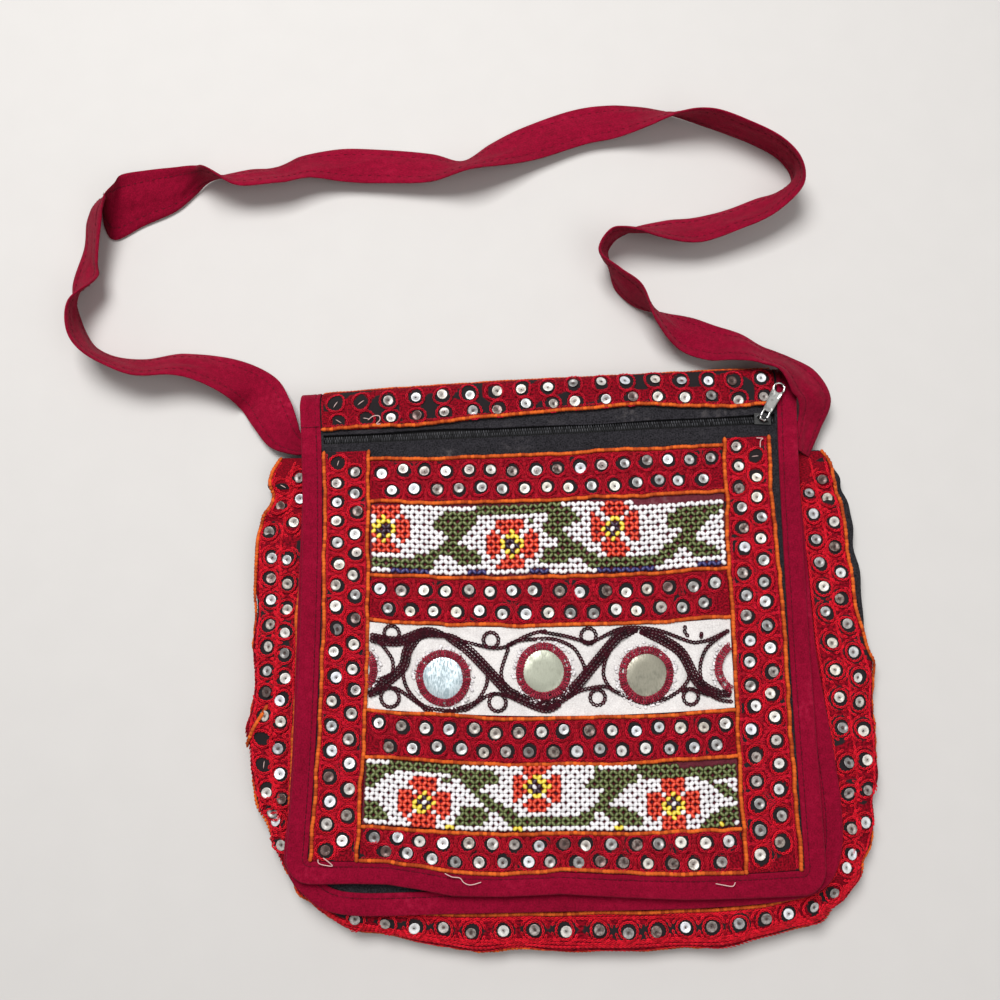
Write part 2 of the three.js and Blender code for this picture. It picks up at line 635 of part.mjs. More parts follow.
// Gusset section: a flattened bulge from under the front binding, out to its nose and back over the back seam
function gussetMiddle(station, angle) {
  const turn = radians(angle);
  const inner = seamPoint(station, -GUSSET_TUCK);
  const top = frontHeight(inner.x, inner.y) - GUSSET_TOP_GAP - CLOTH;
  const foot = GUSSET_FOOT + CLOTH / 2;
  const nose = lerp(foot, top, GUSSET_NOSE);
  const outward = (station.reach + GUSSET_TUCK) * Math.cos(turn) - GUSSET_TUCK;
  const lift = Math.sin(turn) * (turn > 0 ? top - nose : nose - foot);
  const clear = THREE.MathUtils.smoothstep(outward, SAG_FROM, SAG_FULL);
  const sag = turn < 0 ? GUSSET_SAG * clear * Math.sin(2 * turn) : 0;
  const { x, y } = seamPoint(station, outward);
  return new THREE.Vector3(x, y, nose + lift + sag);
}

function gussetPoint(share, angle, height) {
  const station = seamStation(share);
  const step = 1;
  const inwards = gussetMiddle(station, angle + step);
  const chord = gussetMiddle(station, angle - step).sub(inwards);
  const flat = chord.x * station.outX + chord.y * station.outY;
  const slope = new THREE.Vector2(-chord.z, flat).normalize();
  const { x, y } = seamPoint({ ...station, x: 0, y: 0 }, slope.x);
  return gussetMiddle(station, angle).add(new THREE.Vector3(x, y, slope.y).multiplyScalar(height));
}

function gussetLayer(angles, low, high) {
  const section = (share, height) => angles.map((angle) => gussetPoint(share, angle, height));
  const grid = (height) => SEAM_SHARES.map((share) => section(share, height));
  return wallBetween(grid(high), grid(low));
}

function buildGusset() {
  addPiece('gusset', gussetLayer(GUSSET_ANGLES, -CLOTH / 2, CLOTH / 2), 'charcoal');
  const angles = GUSSET_ANGLES.filter((angle) => angle <= TRIM_ANGLES.from && angle >= TRIM_ANGLES.to);
  const low = CLOTH / 2 + GAP;
  addPiece('gusset_trim', gussetLayer(angles, low, low + TRIM_THICKNESS), 'embroidery');
}

// Back outline from the top of the left side round to the top of the right side
function backRoute(inset) {
  const { left, right, bottom, radius, steps, sideSteps } = BACK_OUTLINE;
  const sideEnd = bottom + radius;
  const sides = Array.from({ length: sideSteps }, (_, i) => lerp(BACK_SEAM_Y - GAP, sideEnd, i / sideSteps));
  const turns = Array.from({ length: steps + 1 }, (_, i) => i / steps * Math.PI / 2);
  const arc = (centreX, sign) => (turn) => ({
    x: centreX - sign * (radius - inset) * Math.cos(turn),
    y: bottom + radius - (radius - inset) * Math.sin(turn),
  });
  const leftSide = sides.map((y) => ({ x: left + inset, y }));
  const rightSide = sides.map((y) => ({ x: right - inset, y })).reverse();
  const leftTurn = turns.map(arc(left + radius, 1));
  const rightTurn = turns.map(arc(right - radius, -1)).reverse();
  return { left: [...leftSide, ...leftTurn], right: [...rightTurn, ...rightSide] };
}

function buildBackBinding() {
  const profile = bindingProfile(CLOTH);
  const routes = profile.map((corner) => backRoute(corner.x)).map(({ left, right }) => [...left, ...right]);
  const rings = routes[0].map((_, i) => profile.map((corner, j) => new THREE.Vector3(
    routes[j][i].x,
    routes[j][i].y,
    CLOTH / 2 + GAP + BINDING_WALL + corner.y,
  )));
  addPiece('back_binding', skinRings(rings, profile), 'crimson');
}

// The back lies flat, and its edge lifts into the binding and the flap's back leg
function backLift(x, y) {
  const { left, right, bottom, radius } = BACK_OUTLINE;
  const cornerX = Math.max(left + radius - x, x - right + radius, 0);
  const cornerY = Math.max(bottom + radius - y, 0);
  const inCorner = cornerX > 0 && cornerY > 0;
  const side = inCorner ? radius - Math.hypot(cornerX, cornerY) : Math.min(x - left, right - x, y - bottom);
  const edge = Math.min(side, BACK_SEAM_Y - y + BACK_EDGE_LIFTED);
  return BACK_EDGE_LIFT * (1 - THREE.MathUtils.smoothstep(edge, BACK_EDGE_LIFTED, BACK_EDGE_RUN));
}

function buildBackPanel() {
  const { left, right } = backRoute(CLOTH_INSET);
  const facing = [...right].reverse();
  const plan = left.map((from, i) => BACK_COLUMNS.map(
    (share) => ({ x: lerp(from.x, facing[i].x, share), y: from.y }),
  ));
  const level = (offset) => plan.map((row) => row.map(
    ({ x, y }) => new THREE.Vector3(x, y, CLOTH / 2 + offset + backLift(x, y)),
  ));
  addPiece('back_panel', wallBetween(level(CLOTH / 2), level(-CLOTH / 2)), 'charcoal');
}

const strapAt = tableRoute(STRAP, ['x', 'y', 'low', 'roll', 'width']);

function strapMiddle(share) {
  const { x, y, low, roll, width } = strapAt(share);
  const turn = radians(roll);
  const lift = Math.abs(Math.sin(turn)) * width / 2 + Math.abs(Math.cos(turn)) * STRAP_THICKNESS / 2;
  return { place: new THREE.Vector3(x, y, low + lift), turn, width };
}

function buildStrap() {
  const sides = [-1, 1];
  const sections = Array.from({ length: STRAP_STEPS + 1 }, (_, i) => {
    const share = i / STRAP_STEPS;
    const step = 0.25 / STRAP_STEPS;
    const { place, turn, width } = strapMiddle(share);
    const run = strapMiddle(share + step).place.sub(strapMiddle(share - step).place).normalize();
    const leftwards = new THREE.Vector3(-run.y, run.x, 0).normalize();
    const upwards = new THREE.Vector3().crossVectors(run, leftwards);
    const across = leftwards.clone().multiplyScalar(Math.cos(turn)).addScaledVector(upwards, Math.sin(turn));
    const out = new THREE.Vector3().crossVectors(run, across);
    const row = (height) => sides.map(
      (side) => place.clone().addScaledVector(across, side * width / 2).addScaledVector(out, height),
    );
    return { upper: row(STRAP_THICKNESS / 2), lower: row(-STRAP_THICKNESS / 2) };
  });
  const upper = sections.map((section) => section.upper);
  const lower = sections.map((section) => section.lower);
  addPiece('strap', wallBetween(upper, lower), 'crimson');
}

buildBackPanel();
buildBackBinding();
buildGusset();
buildFrontPanel();
buildFrontBinding();
buildFlap();
buildFlapBinding();
buildTrims();
buildMirrors();
buildZip();
buildStrap();

export default bag;
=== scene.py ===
"""Embroidered shoulder bag on its back, flap shut and strap laid out above it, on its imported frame."""
import logging
import math
from dataclasses import dataclass, field
from enum import Enum
from typing import Any, Callable, Optional, Sequence

import bpy
import numpy as np
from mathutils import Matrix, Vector


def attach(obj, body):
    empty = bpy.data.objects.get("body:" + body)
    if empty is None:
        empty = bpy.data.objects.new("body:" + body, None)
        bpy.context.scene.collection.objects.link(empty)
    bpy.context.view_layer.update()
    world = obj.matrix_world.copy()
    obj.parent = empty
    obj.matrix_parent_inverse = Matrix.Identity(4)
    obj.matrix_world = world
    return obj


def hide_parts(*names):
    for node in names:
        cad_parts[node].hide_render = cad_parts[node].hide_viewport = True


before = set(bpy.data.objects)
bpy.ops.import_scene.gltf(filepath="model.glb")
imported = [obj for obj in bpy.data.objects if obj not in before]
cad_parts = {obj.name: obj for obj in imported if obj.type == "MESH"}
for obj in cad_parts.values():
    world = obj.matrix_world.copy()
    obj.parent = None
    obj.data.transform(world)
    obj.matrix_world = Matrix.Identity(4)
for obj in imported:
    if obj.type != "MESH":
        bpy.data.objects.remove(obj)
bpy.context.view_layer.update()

LOG = logging.getLogger("bag")
Array = np.ndarray
Colour = tuple[float, float, float]
MM = 0.001
BODY = "bag"
PULL_BODY = "pull"


# Numbers and curves


def lerp(a: Any, b: Any, t: Any) -> Any:
    """Value a share t of the way from a to b."""
    return a + (b - a) * t


def bow(share: Any) -> Any:
    """Parabola that is 1 halfway along and 0 at both ends."""
    return 4 * share * (1 - share)


def smoothstep(value: Any, low: float, high: float) -> Any:
    """Smooth ramp from 0 at low to 1 at high."""
    t = np.clip((np.asarray(value, float) - low) / (high - low), 0, 1)
    return t * t * (3 - 2 * t)


def plateau(value: Any, start: float, full: float, fall: float, end: float) -> Any:
    """Smooth rise from 0 at start to 1 at full, and fall from 1 at fall to 0 at end."""
    return smoothstep(value, start, full) * (1 - smoothstep(value, fall, end))


def unit(vectors: Array) -> Array:
    """Vectors scaled to length 1."""
    return vectors / np.maximum(np.linalg.norm(vectors, axis=-1, keepdims=True), 1e-9)


def srgb(red: int, green: int, blue: int) -> Colour:
    """Linear colour of an sRGB colour given from 0 to 255."""
    parts = [value / 255 for value in (red, green, blue)]
    return tuple(p / 12.92 if p <= 0.04045 else ((p + 0.055) / 1.055) ** 2.4 for p in parts)


def catmull(rows: Array, share: Array) -> Array:
    """Points of a smooth route through a table's rows.

    Args:
        rows: table with one row for each point.
        share: places along the route, from 0 to 1.

    Returns:
        One row of values for each place.
    """
    last = len(rows) - 1
    place = np.clip(np.asarray(share, float), 0, 1) * last
    i = np.minimum(np.floor(place).astype(int), last - 1)
    t = (place - i)[..., None]
    a, b, c, d = (rows[np.clip(i + k, 0, last)] for k in (-1, 0, 1, 2))
    cubic = -a + 3 * b - 3 * c + d
    square = 2 * a - 5 * b + 4 * c - d
    return b + 0.5 * t * (c - a + t * (square + t * cubic))


def smooth_line(points: Sequence[Sequence[float]], steps: int = 24) -> Array:
    """Dense smooth line through a short list of points."""
    rows = np.array(points, float)
    return catmull(rows, np.linspace(0, 1, steps * (len(rows) - 1) + 1))


def spread(low: float, high: float, step: float) -> Array:
    """Even places from low to high, about a step apart."""
    return np.linspace(low, high, max(2, int(round((high - low) / step)) + 1))


def paired(u: Array, v: Array) -> Array:
    """Pairs of two coordinates that are spread over each other."""
    return np.stack(np.broadcast_arrays(u, v), -1)


def distances(points: Array) -> Array:
    """Distance of each point along its line, from 0."""
    return np.concatenate([[0.0], np.cumsum(np.linalg.norm(np.diff(points, axis=0), axis=1))])


def line_length(points: Array) -> float:
    """Length of a line of points."""
    return float(np.linalg.norm(np.diff(points, axis=0), axis=1).sum())


def rows_at(want: Array, length: Array, rows: Array) -> Array:
    """Rows of a table at the distances that are wanted along it."""
    return np.stack([np.interp(want, length, rows[:, k]) for k in range(rows.shape[1])], -1)


def round_turn(count: int) -> Array:
    """Angles of even places round a circle."""
    return np.arange(count) / count * 2 * np.pi


def round_line(u: float, v: float, radius: Any, turn: Any, per: tuple[float, float] = (1.0, 1.0)) -> Array:
    """Part of a circle in a surface's two coordinates.

    Args:
        u: first coordinate of its middle.
        v: second coordinate of its middle.
        radius: radius in millimetres, or one for each angle.
        turn: angles.
        per: millimetres for one step of each coordinate.

    Returns:
        One pair of coordinates for each angle.
    """
    return np.stack([u + radius * np.cos(turn) / per[0], v + radius * np.sin(turn) / per[1]], -1)


class Noise:
    """Smooth repeatable unevenness, made of a few sines with a fixed seed."""

    def __init__(self, seed: int, waves: int = 6, length: float = 30.0) -> None:
        """Draws the waves.

        Args:
            seed: fixed seed.
            waves: how many sines are added.
            length: typical wavelength in millimetres.
        """
        rng = np.random.default_rng(seed)
        turn = rng.uniform(0, 2 * np.pi, waves)
        size = 2 * np.pi / (length * rng.uniform(0.6, 1.7, waves))
        self.u = np.cos(turn) * size
        self.v = np.sin(turn) * size
        self.phase = rng.uniform(0, 2 * np.pi, waves)

    def __call__(self, u: Array, v: Array) -> Array:
        """Height between about -1 and 1 at each place."""
        u, v = np.broadcast_arrays(np.asarray(u, float), np.asarray(v, float))
        total = sum(np.sin(u * a + v * b + c) for a, b, c in zip(self.u, self.v, self.phase))
        return total / math.sqrt(len(self.u) * 2)


# Surfaces of the bag, in millimetres, as the solids have them


@dataclass(frozen=True)
class FlapSurface:
    """Flap as it lies: across from its left edge, down from its fold."""

    width: float = 305.0
    length: float = 307.0
    back: float = 24.0
    radius: float = 8.0
    cloth: float = 1.6
    back_seam_y: float = 126.5
    fold_left: tuple[float, float] = (-158.0, 149.0)
    fold_right: tuple[float, float] = (150.0, 167.0)
    hem_left: tuple[float, float] = (-155.0, -138.5)
    hem_right: tuple[float, float] = (149.0, -139.0)
    fold_bow: float = 2.0
    hem_bow: float = -5.5
    hem_lift: tuple[tuple[float, float], ...] = (
        (0.0, 2.4), (0.06, 3.0), (0.13, 4.6), (0.19, 5.2), (0.25, 3.2), (0.31, 0.4),
        (0.40, 0.6), (0.51, 2.4), (0.62, 0.3), (0.74, -1.9), (0.86, -2.6), (1.0, -3.0),
    )
    left_bow: float = 5.0
    right_bow: float = -2.5
    weave_tilt: float = -4.9
    weave_curl: float = 7.0
    rise: float = 7.0
    dome: float = 2.2
    back_middle: float = 2.1
    waves: tuple[tuple[float, float, float, float], ...] = ((0.7, 1.5, 0.6, 0.4), (0.5, 2.5, 1.5, 2.1))
    slope_end: float = 0.75
    waves_run: tuple[float, float, float, float] = (0.0, 0.2, 0.7, 0.95)
    hem_run: tuple[float, float] = (0.84, 1.0)
    past_edge: float = 1.1

    @property
    def arc(self) -> float:
        """Half the length of cloth in the fold."""
        return self.radius * math.pi / 2

    @property
    def crest(self) -> float:
        """Height of the cloth's middle just past the fold."""
        return self.back_middle + 2 * self.radius

    def fold_y(self, share: Array) -> Array:
        """Line of the fold."""
        return lerp(self.fold_left[1], self.fold_right[1], share) + self.fold_bow * bow(share)

    def hem_y(self, share: Array) -> Array:
        """Line of the hem."""
        return lerp(self.hem_left[1], self.hem_right[1], share) + self.hem_bow * bow(share)

    def side_x(self, share: Array, run: Array) -> Array:
        """Place between the two bowed sides."""
        left = lerp(self.fold_left[0], self.hem_left[0], run) + self.left_bow * bow(run)
        right = lerp(self.fold_right[0], self.hem_right[0], run) + self.right_bow * bow(run)
        return lerp(left, right, share)

    def height(self, share: Array, run: Array) -> Array:
        """Height of the cloth's middle past the fold."""
        slope = smoothstep(run, 0, self.slope_end)
        dome = self.dome * np.sin(np.pi * share) * np.sin(np.pi * run)
        ease = plateau(run, *self.waves_run)
        wave = sum(h * np.sin(2 * np.pi * (a * share + d * run) + p) for h, a, d, p in self.waves)
        return self.crest + self.rise * slope + dome + wave * ease

    def middle(self, across: Array, down: Array) -> Array:
        """Middle of the cloth."""
        across, down = np.broadcast_arrays(np.asarray(across, float), np.asarray(down, float))
        share = across / self.width
        top = self.fold_y(share) - self.radius
        turn = np.clip(down, -self.arc, self.arc) / self.radius
        run = np.clip((down - self.arc) / (self.length - self.arc), 0, self.past_edge)
        behind = np.clip((-self.arc - down) / self.back, 0, self.past_edge)
        weave = self.weave_tilt * (share - 0.5) + self.weave_curl * (1 - bow(share))
        lift = np.interp(share, *zip(*self.hem_lift)) * smoothstep(run, *self.hem_run)
        front_y = lerp(top, self.hem_y(share), run) + np.sin(np.pi * run) * weave + lift
        fold = top + self.radius * np.cos(turn)
        back_y = lerp(top, self.back_seam_y, behind)
        y = np.where(down > self.arc, front_y, np.where(down < -self.arc, back_y, fold))
        folded = self.back_middle + self.radius + self.radius * np.sin(turn)
        z = np.where(down > self.arc, self.height(share, run), folded)
        return np.stack([self.side_x(share, run), y, z], axis=-1)

    def point(self, across: Array, down: Array, height: Any = 0.0) -> Array:
        """Place at a height out of the cloth's middle."""
        across, down = np.asarray(across), np.asarray(down)
        step = 0.5
        along = self.middle(across, down - step) - self.middle(across, down + step)
        sideways = self.middle(across + step, down) - self.middle(across - step, down)
        normal = unit(np.cross(sideways, along))
        return self.middle(across, down) + normal * np.asarray(height)[..., None]

    def metric(self, across: float, down: float) -> tuple[float, float]:
        """Millimetres for one step of each coordinate."""
        return 1.0, 1.0


FLAP = FlapSurface()

# Front seam: x, y of the binding's outer edge, reach of the gusset past it
SEAM_TABLE = np.array([
    (-155, 112, 15), (-155, 99, 22), (-155, 84, 19.5), (-155, 66, 27.5), (-154.5, 22, 25.5),
    (-154, -28, 24.5), (-154, -62, 26.5), (-155, -98, 16), (-156, -126, 1.5), (-144.5, -143.5, 0.5),
    (-121, -154, 5), (-62, -153.5, 17.5), (0, -152.3, 20), (78, -150.5, 21),
    (130, -146, 16), (150, -138.5, 13), (159, -122, 15), (161, -100, 20), (158.5, -64, 26.5),
    (152.5, -10, 33), (151, 40, 32.5), (150, 76, 31), (149, 100, 26), (148, 116, 17),
], float)


@dataclass(frozen=True)
class BodySurface:
    """Front seam and gusset: a share round the seam, an angle round the gusset's bulge."""

    cloth: float = 1.2
    front_depth: float = 5.6
    tuck: float = 10.0
    nose: float = 0.45
    sag: float = 3.0
    sag_from: float = 2.0
    sag_full: float = 14.0
    top_gap: float = 3.1
    foot: float = 5.0
    trim_inner: tuple[float, float] = (70.0, 80.0)
    trim_turn: tuple[float, float] = (20.0, 12.0)
    trim_outer: tuple[float, float] = (16.0, -16.0)
    trim_slack: tuple[float, float] = (34.0, 28.0)
    trim_turned: float = 0.9
    left_low: tuple[float, float] = (0.14, 0.19)
    bottom_left: tuple[float, float] = (0.26, 0.32)
    bottom_right: tuple[float, float] = (0.68, 0.76)
    slack_start: tuple[float, float] = (0.80, 0.86)
    slack_end: tuple[float, float] = (0.95, 0.985)
    ruffle: float = 0.9
    ruffle_counts: tuple[int, int] = (21, 37)
    ruffle_angles: tuple[float, float, float, float] = (-60.0, 10.0, 50.0, 72.0)
    ruffle_run: tuple[float, float, float, float] = (0.01, 0.06, 0.94, 0.99)

    def front_height(self, x: Array, y: Array) -> Array:
        """Height of the front panel's middle anywhere in plan."""
        share = np.clip((x - FLAP.fold_left[0]) / FLAP.width, 0, 1)
        top = FLAP.fold_y(share) - FLAP.radius
        run = np.clip((top - y) / (top - FLAP.hem_y(share)), 0, 1)
        return FLAP.height(share, run) - self.front_depth

    def station(self, share: Array) -> tuple[Array, Array, Array]:
        """Seam place, outward direction in plan and reach."""
        step = 0.004
        here, ahead, behind = (catmull(SEAM_TABLE, np.asarray(share) + k) for k in (0.0, step, -step))
        run = unit((ahead - behind)[..., :2])
        return here[..., :2], np.stack([run[..., 1], -run[..., 0]], axis=-1), here[..., 2]

    def seam(self, share: Array, outward: Any) -> Array:
        """Plan place at a distance out of the seam."""
        place, out, _ = self.station(share)
        return place + out * np.asarray(outward)[..., None]

    def middle(self, share: Array, angle: Array) -> Array:
        """Middle of the gusset's cloth."""
        share, angle = np.broadcast_arrays(np.asarray(share, float), np.asarray(angle, float))
        turn = np.radians(angle)
        place, out, reach = self.station(share)
        inner = place - out * self.tuck
        top = self.front_height(inner[..., 0], inner[..., 1]) - self.top_gap - self.cloth
        foot = self.foot + self.cloth / 2
        nose = lerp(foot, top, self.nose)
        outward = (reach + self.tuck) * np.cos(turn) - self.tuck
        lift = np.sin(turn) * np.where(turn > 0, top - nose, nose - foot)
        clear = smoothstep(outward, self.sag_from, self.sag_full)
        sag = np.where(turn < 0, self.sag * clear * np.sin(2 * turn), 0)
        plan = place + out * outward[..., None]
        return np.concatenate([plan, (nose + lift + sag)[..., None]], axis=-1)

    def at_angle(self, share: Array, angle: Array, height: Any = 0.0) -> Array:
        """Place at a height out of the gusset's cloth."""
        share, angle = np.broadcast_arrays(np.asarray(share, float), np.asarray(angle, float))
        _, out, _ = self.station(share)
        chord = self.middle(share, angle - 1) - self.middle(share, angle + 1)
        flat = (chord[..., :2] * out).sum(-1)
        slope = unit(np.stack([-chord[..., 2], flat], axis=-1))
        normal = np.concatenate([out * slope[..., :1], slope[..., 1:]], axis=-1)
        lifted = np.asarray(height) + self.ruffles(share, angle)
        return self.middle(share, angle) + normal * lifted[..., None]

    def ruffles(self, share: Array, angle: Array) -> Array:
        """Soft ruffles of the sewn band, none at the seams."""
        free = plateau(angle, *self.ruffle_angles)
        ends = plateau(share, *self.ruffle_run)
        large, small = (share * 2 * np.pi * count for count in self.ruffle_counts)
        wave = np.sin(large + 0.6) + 0.6 * np.sin(small + angle / 30)
        return self.ruffle * free * ends * wave

    def point(self, share: Array, across: Array, height: Any = 0.0) -> Array:
        """Place on the band: across from its inner border, 0, to its outer border, 1."""
        share, across = np.broadcast_arrays(np.asarray(share, float), np.asarray(across, float))
        low = smoothstep(share, *self.left_low)
        raised = smoothstep(share, *self.slack_start)
        left = 1 - 0.5 * low - 0.5 * smoothstep(share, *self.bottom_left)
        tucked = np.maximum(smoothstep(share, *self.bottom_right), left)
        slack = raised * (1 - smoothstep(share, *self.slack_end))
        wrapped = low * (1 - 0.75 * raised)
        inner = np.cos(np.radians(lerp(*self.trim_inner, tucked)))
        turn = lerp(lerp(*self.trim_turn, wrapped), self.trim_slack[0], slack)
        reach = lerp(inner, np.cos(np.radians(turn)), across / self.trim_turned)
        near = np.degrees(np.arccos(np.clip(reach, -1, 1)))
        edge = lerp(lerp(*self.trim_outer, wrapped), self.trim_slack[1], slack)
        far = lerp(turn, edge, (across - self.trim_turned) / (1 - self.trim_turned))
        return self.at_angle(share, np.where(across < self.trim_turned, near, far), height)

    def metric(self, share: float, across: float) -> tuple[float, float]:
        """Millimetres for one step of each coordinate."""
        step = 0.002
        run = self.point(share + step, across) - self.point(share - step, across)
        side = self.point(share, across + step) - self.point(share, across - step)
        return float(np.linalg.norm(run)) / (2 * step), float(np.linalg.norm(side)) / (2 * step)


GUSSET = BodySurface()
Surface = FlapSurface | BodySurface


# Meshes


def smooth_mesh(name: str, points: Array, faces: Any) -> bpy.types.Mesh:
    """Smooth mesh in metres, of points in millimetres."""
    mesh = bpy.data.meshes.new(name)
    mesh.from_pydata((np.asarray(points, float) * MM).tolist(), [], faces)
    mesh.shade_smooth()
    return mesh


def linked(name: str, data: Any) -> bpy.types.Object:
    """New object in the scene, at the origin."""
    piece = bpy.data.objects.new(name, data)
    bpy.context.scene.collection.objects.link(piece)
    return piece


def mesh_object(
    name: str,
    points: Array,
    faces: Any,
    finish: bpy.types.Material,
    uv: Optional[Array] = None,
    sharp: float = 50.0,
) -> bpy.types.Object:
    """New smooth mesh object at the origin.

    Args:
        name: piece name.
        points: places in millimetres.
        faces: lists of point numbers.
        finish: material of the whole piece.
        uv: flat place of each point in metres.
        sharp: angle in degrees past which an edge stays sharp.

    Returns:
        The linked object.
    """
    mesh = smooth_mesh(name, points, faces.tolist() if isinstance(faces, np.ndarray) else faces)
    if uv is not None:
        layer = mesh.uv_layers.new(name="cloth")
        corner = np.empty(len(mesh.loops), np.int32)
        mesh.loops.foreach_get("vertex_index", corner)
        layer.data.foreach_set("uv", np.asarray(uv, np.float32)[corner].ravel())
    mesh.set_sharp_from_angle(angle=math.radians(sharp))
    mesh.update()
    mesh.materials.append(finish)
    return linked(name, mesh)


def carry_values(
    mesh: bpy.types.Mesh,
    name: str,
    values: Array,
    kind: str = "FLOAT",
    part: str = "value",
) -> None:
    """Gives every point of a mesh a value.

    Args:
        mesh: mesh that carries the values.
        name: attribute name.
        values: one value, vector or colour for each point.
        kind: attribute type.
        part: name that the attribute's data has for such a value.
    """
    data = mesh.attributes.new(name, kind, "POINT").data
    data.foreach_set(part, np.asarray(values, np.float32).ravel())


def wall_faces(rows: int, columns: int, keep: Optional[Array] = None) -> Array:
    """Quads of a closed wall between two stacked grids.

    Args:
        rows: grid rows.
        columns: grid columns.
        keep: cells that are cloth; all of them if left out.

    Returns:
        Quads over the upper grid's points followed by the lower grid's.
    """
    kept = np.ones((rows - 1, columns - 1), bool) if keep is None else keep
    count = rows * columns
    i, j = np.nonzero(kept)
    a = i * columns + j
    b = a + columns
    quads = [
        np.stack([a, b, b + 1, a + 1], -1),
        np.stack([a, a + 1, b + 1, b], -1) + count,
    ]
    ringed = np.pad(kept, 1)
    sides = (
        (ringed[1:-1, :-2], a, b),
        (ringed[2:, 1:-1], b, b + 1),
        (ringed[1:-1, 2:], b + 1, a + 1),
        (ringed[:-2, 1:-1], a + 1, a),
    )
    for beside, p, q in sides:
        free = ~beside[i, j]
        p, q = p[free], q[free]
        quads.append(np.stack([p, p + count, q + count, q], -1))
    return np.concatenate(quads)


def cloth_wall(
    name: str,
    upper: Array,
    lower: Array,
    flat: Array,
    finish: bpy.types.Material,
    keep: Optional[Array] = None,
) -> bpy.types.Object:
    """Sheet of cloth between two grids, with its flat places as UV.

    Args:
        name: piece name.
        upper: grid of the outer face, in millimetres.
        lower: grid of the inner face.
        flat: flat place of each grid point, in millimetres.
        finish: material.
        keep: cells that are cloth.

    Returns:
        The piece.
    """
    rows, columns = upper.shape[:2]
    points = np.concatenate([upper.reshape(-1, 3), lower.reshape(-1, 3)])
    uv = np.tile(flat.reshape(-1, 2) * MM, (2, 1))
    faces = wall_faces(rows, columns, keep)
    used = np.unique(faces)
    number = np.full(len(points), -1)
    number[used] = np.arange(len(used))
    return mesh_object(name, points[used], number[faces], finish, uv[used])


def ring_faces(rings: int, size: int, closed: bool = False) -> list[list[int]]:
    """Quads round a row of like rings, with both ends capped unless the row closes on itself."""
    i, j = np.meshgrid(np.arange(rings if closed else rings - 1), np.arange(size), indexing="ij")
    here, ahead = i * size, (i + 1) % rings * size
    beside = (j + 1) % size
    quads = np.stack([here + j, here + beside, ahead + beside, ahead + j], -1).reshape(-1, 4).tolist()
    if closed:
        return quads
    return quads + [list(range(size))[::-1], [(rings - 1) * size + k for k in range(size)]]


def turned_faces(rings: int, sides: int) -> list[list[int]]:
    """Faces of a turned shape: a point on the axis, its rings and another point on the axis."""
    last = 1 + rings * sides
    end = last - sides
    faces: list[list[int]] = []
    for j in range(sides):
        k = (j + 1) % sides
        faces.append([0, 1 + j, 1 + k])
        for base in range(1, end, sides):
            faces.append([base + j, base + sides + j, base + sides + k, base + k])
        faces.append([end + j, last, end + k])
    return faces


def tube_mesh(name: str, path: Array, radius: Any, sides: int, closed: bool = False) -> bpy.types.Mesh:
    """Tube along a path.

    Args:
        name: mesh name.
        path: places in millimetres.
        radius: radius, or one for each place.
        sides: sides of the tube.
        closed: true for a ring.

    Returns:
        The mesh, in metres.
    """
    ahead = np.roll(path, -1, 0) - np.roll(path, 1, 0) if closed else np.gradient(path, axis=0)
    run = unit(ahead)
    side = unit(np.cross(run, np.array([0.0, 0.0, 1.0]) + 1e-3))
    up = np.cross(side, run)
    turn = round_turn(sides)
    size = np.broadcast_to(np.asarray(radius, float), (len(path),))[:, None, None]
    spoke = side[:, None] * np.cos(turn)[None, :, None] + up[:, None] * np.sin(turn)[None, :, None]
    points = (path[:, None] + spoke * size).reshape(-1, 3)
    return smooth_mesh(name, points, ring_faces(len(path), sides, closed))


def lathe_mesh(name: str, profile: Sequence[tuple[float, float]], sides: int) -> bpy.types.Mesh:
    """Turned shape whose profile starts and ends on its axis.

    Args:
        name: mesh name.
        profile: radius and height of each corner, in millimetres, from the top round to the bottom.
        sides: sides of the turned shape.

    Returns:
        The mesh, in metres.
    """
    inner = profile[1:-1]
    points = [(0.0, 0.0, profile[0][1])]
    points += [(r * math.cos(t), r * math.sin(t), z) for r, z in inner for t in round_turn(sides)]
    points.append((0.0, 0.0, profile[-1][1]))
    return smooth_mesh(name, np.array(points), turned_faces(len(inner), sides))


def joined(
    meshes: Sequence[bpy.types.Mesh],
    points: Array = np.zeros((0, 3)),
    faces: Sequence[Sequence[int]] = (),
) -> tuple[Array, list[Sequence[int]]]:
    """Puts meshes together and uses them up.

    Args:
        meshes: meshes in metres.
        points: points in millimetres that come first.
        faces: faces that come first.

    Returns:
        All the points, in millimetres, and all the faces.
    """
    made = list(faces)
    for mesh in meshes:
        base = len(points)
        points = np.concatenate([points, np.array([v.co[:] for v in mesh.vertices]) / MM])
        made += [[base + i for i in face.vertices] for face in mesh.polygons]
        bpy.data.meshes.remove(mesh)
    return points, made


# Shader maths


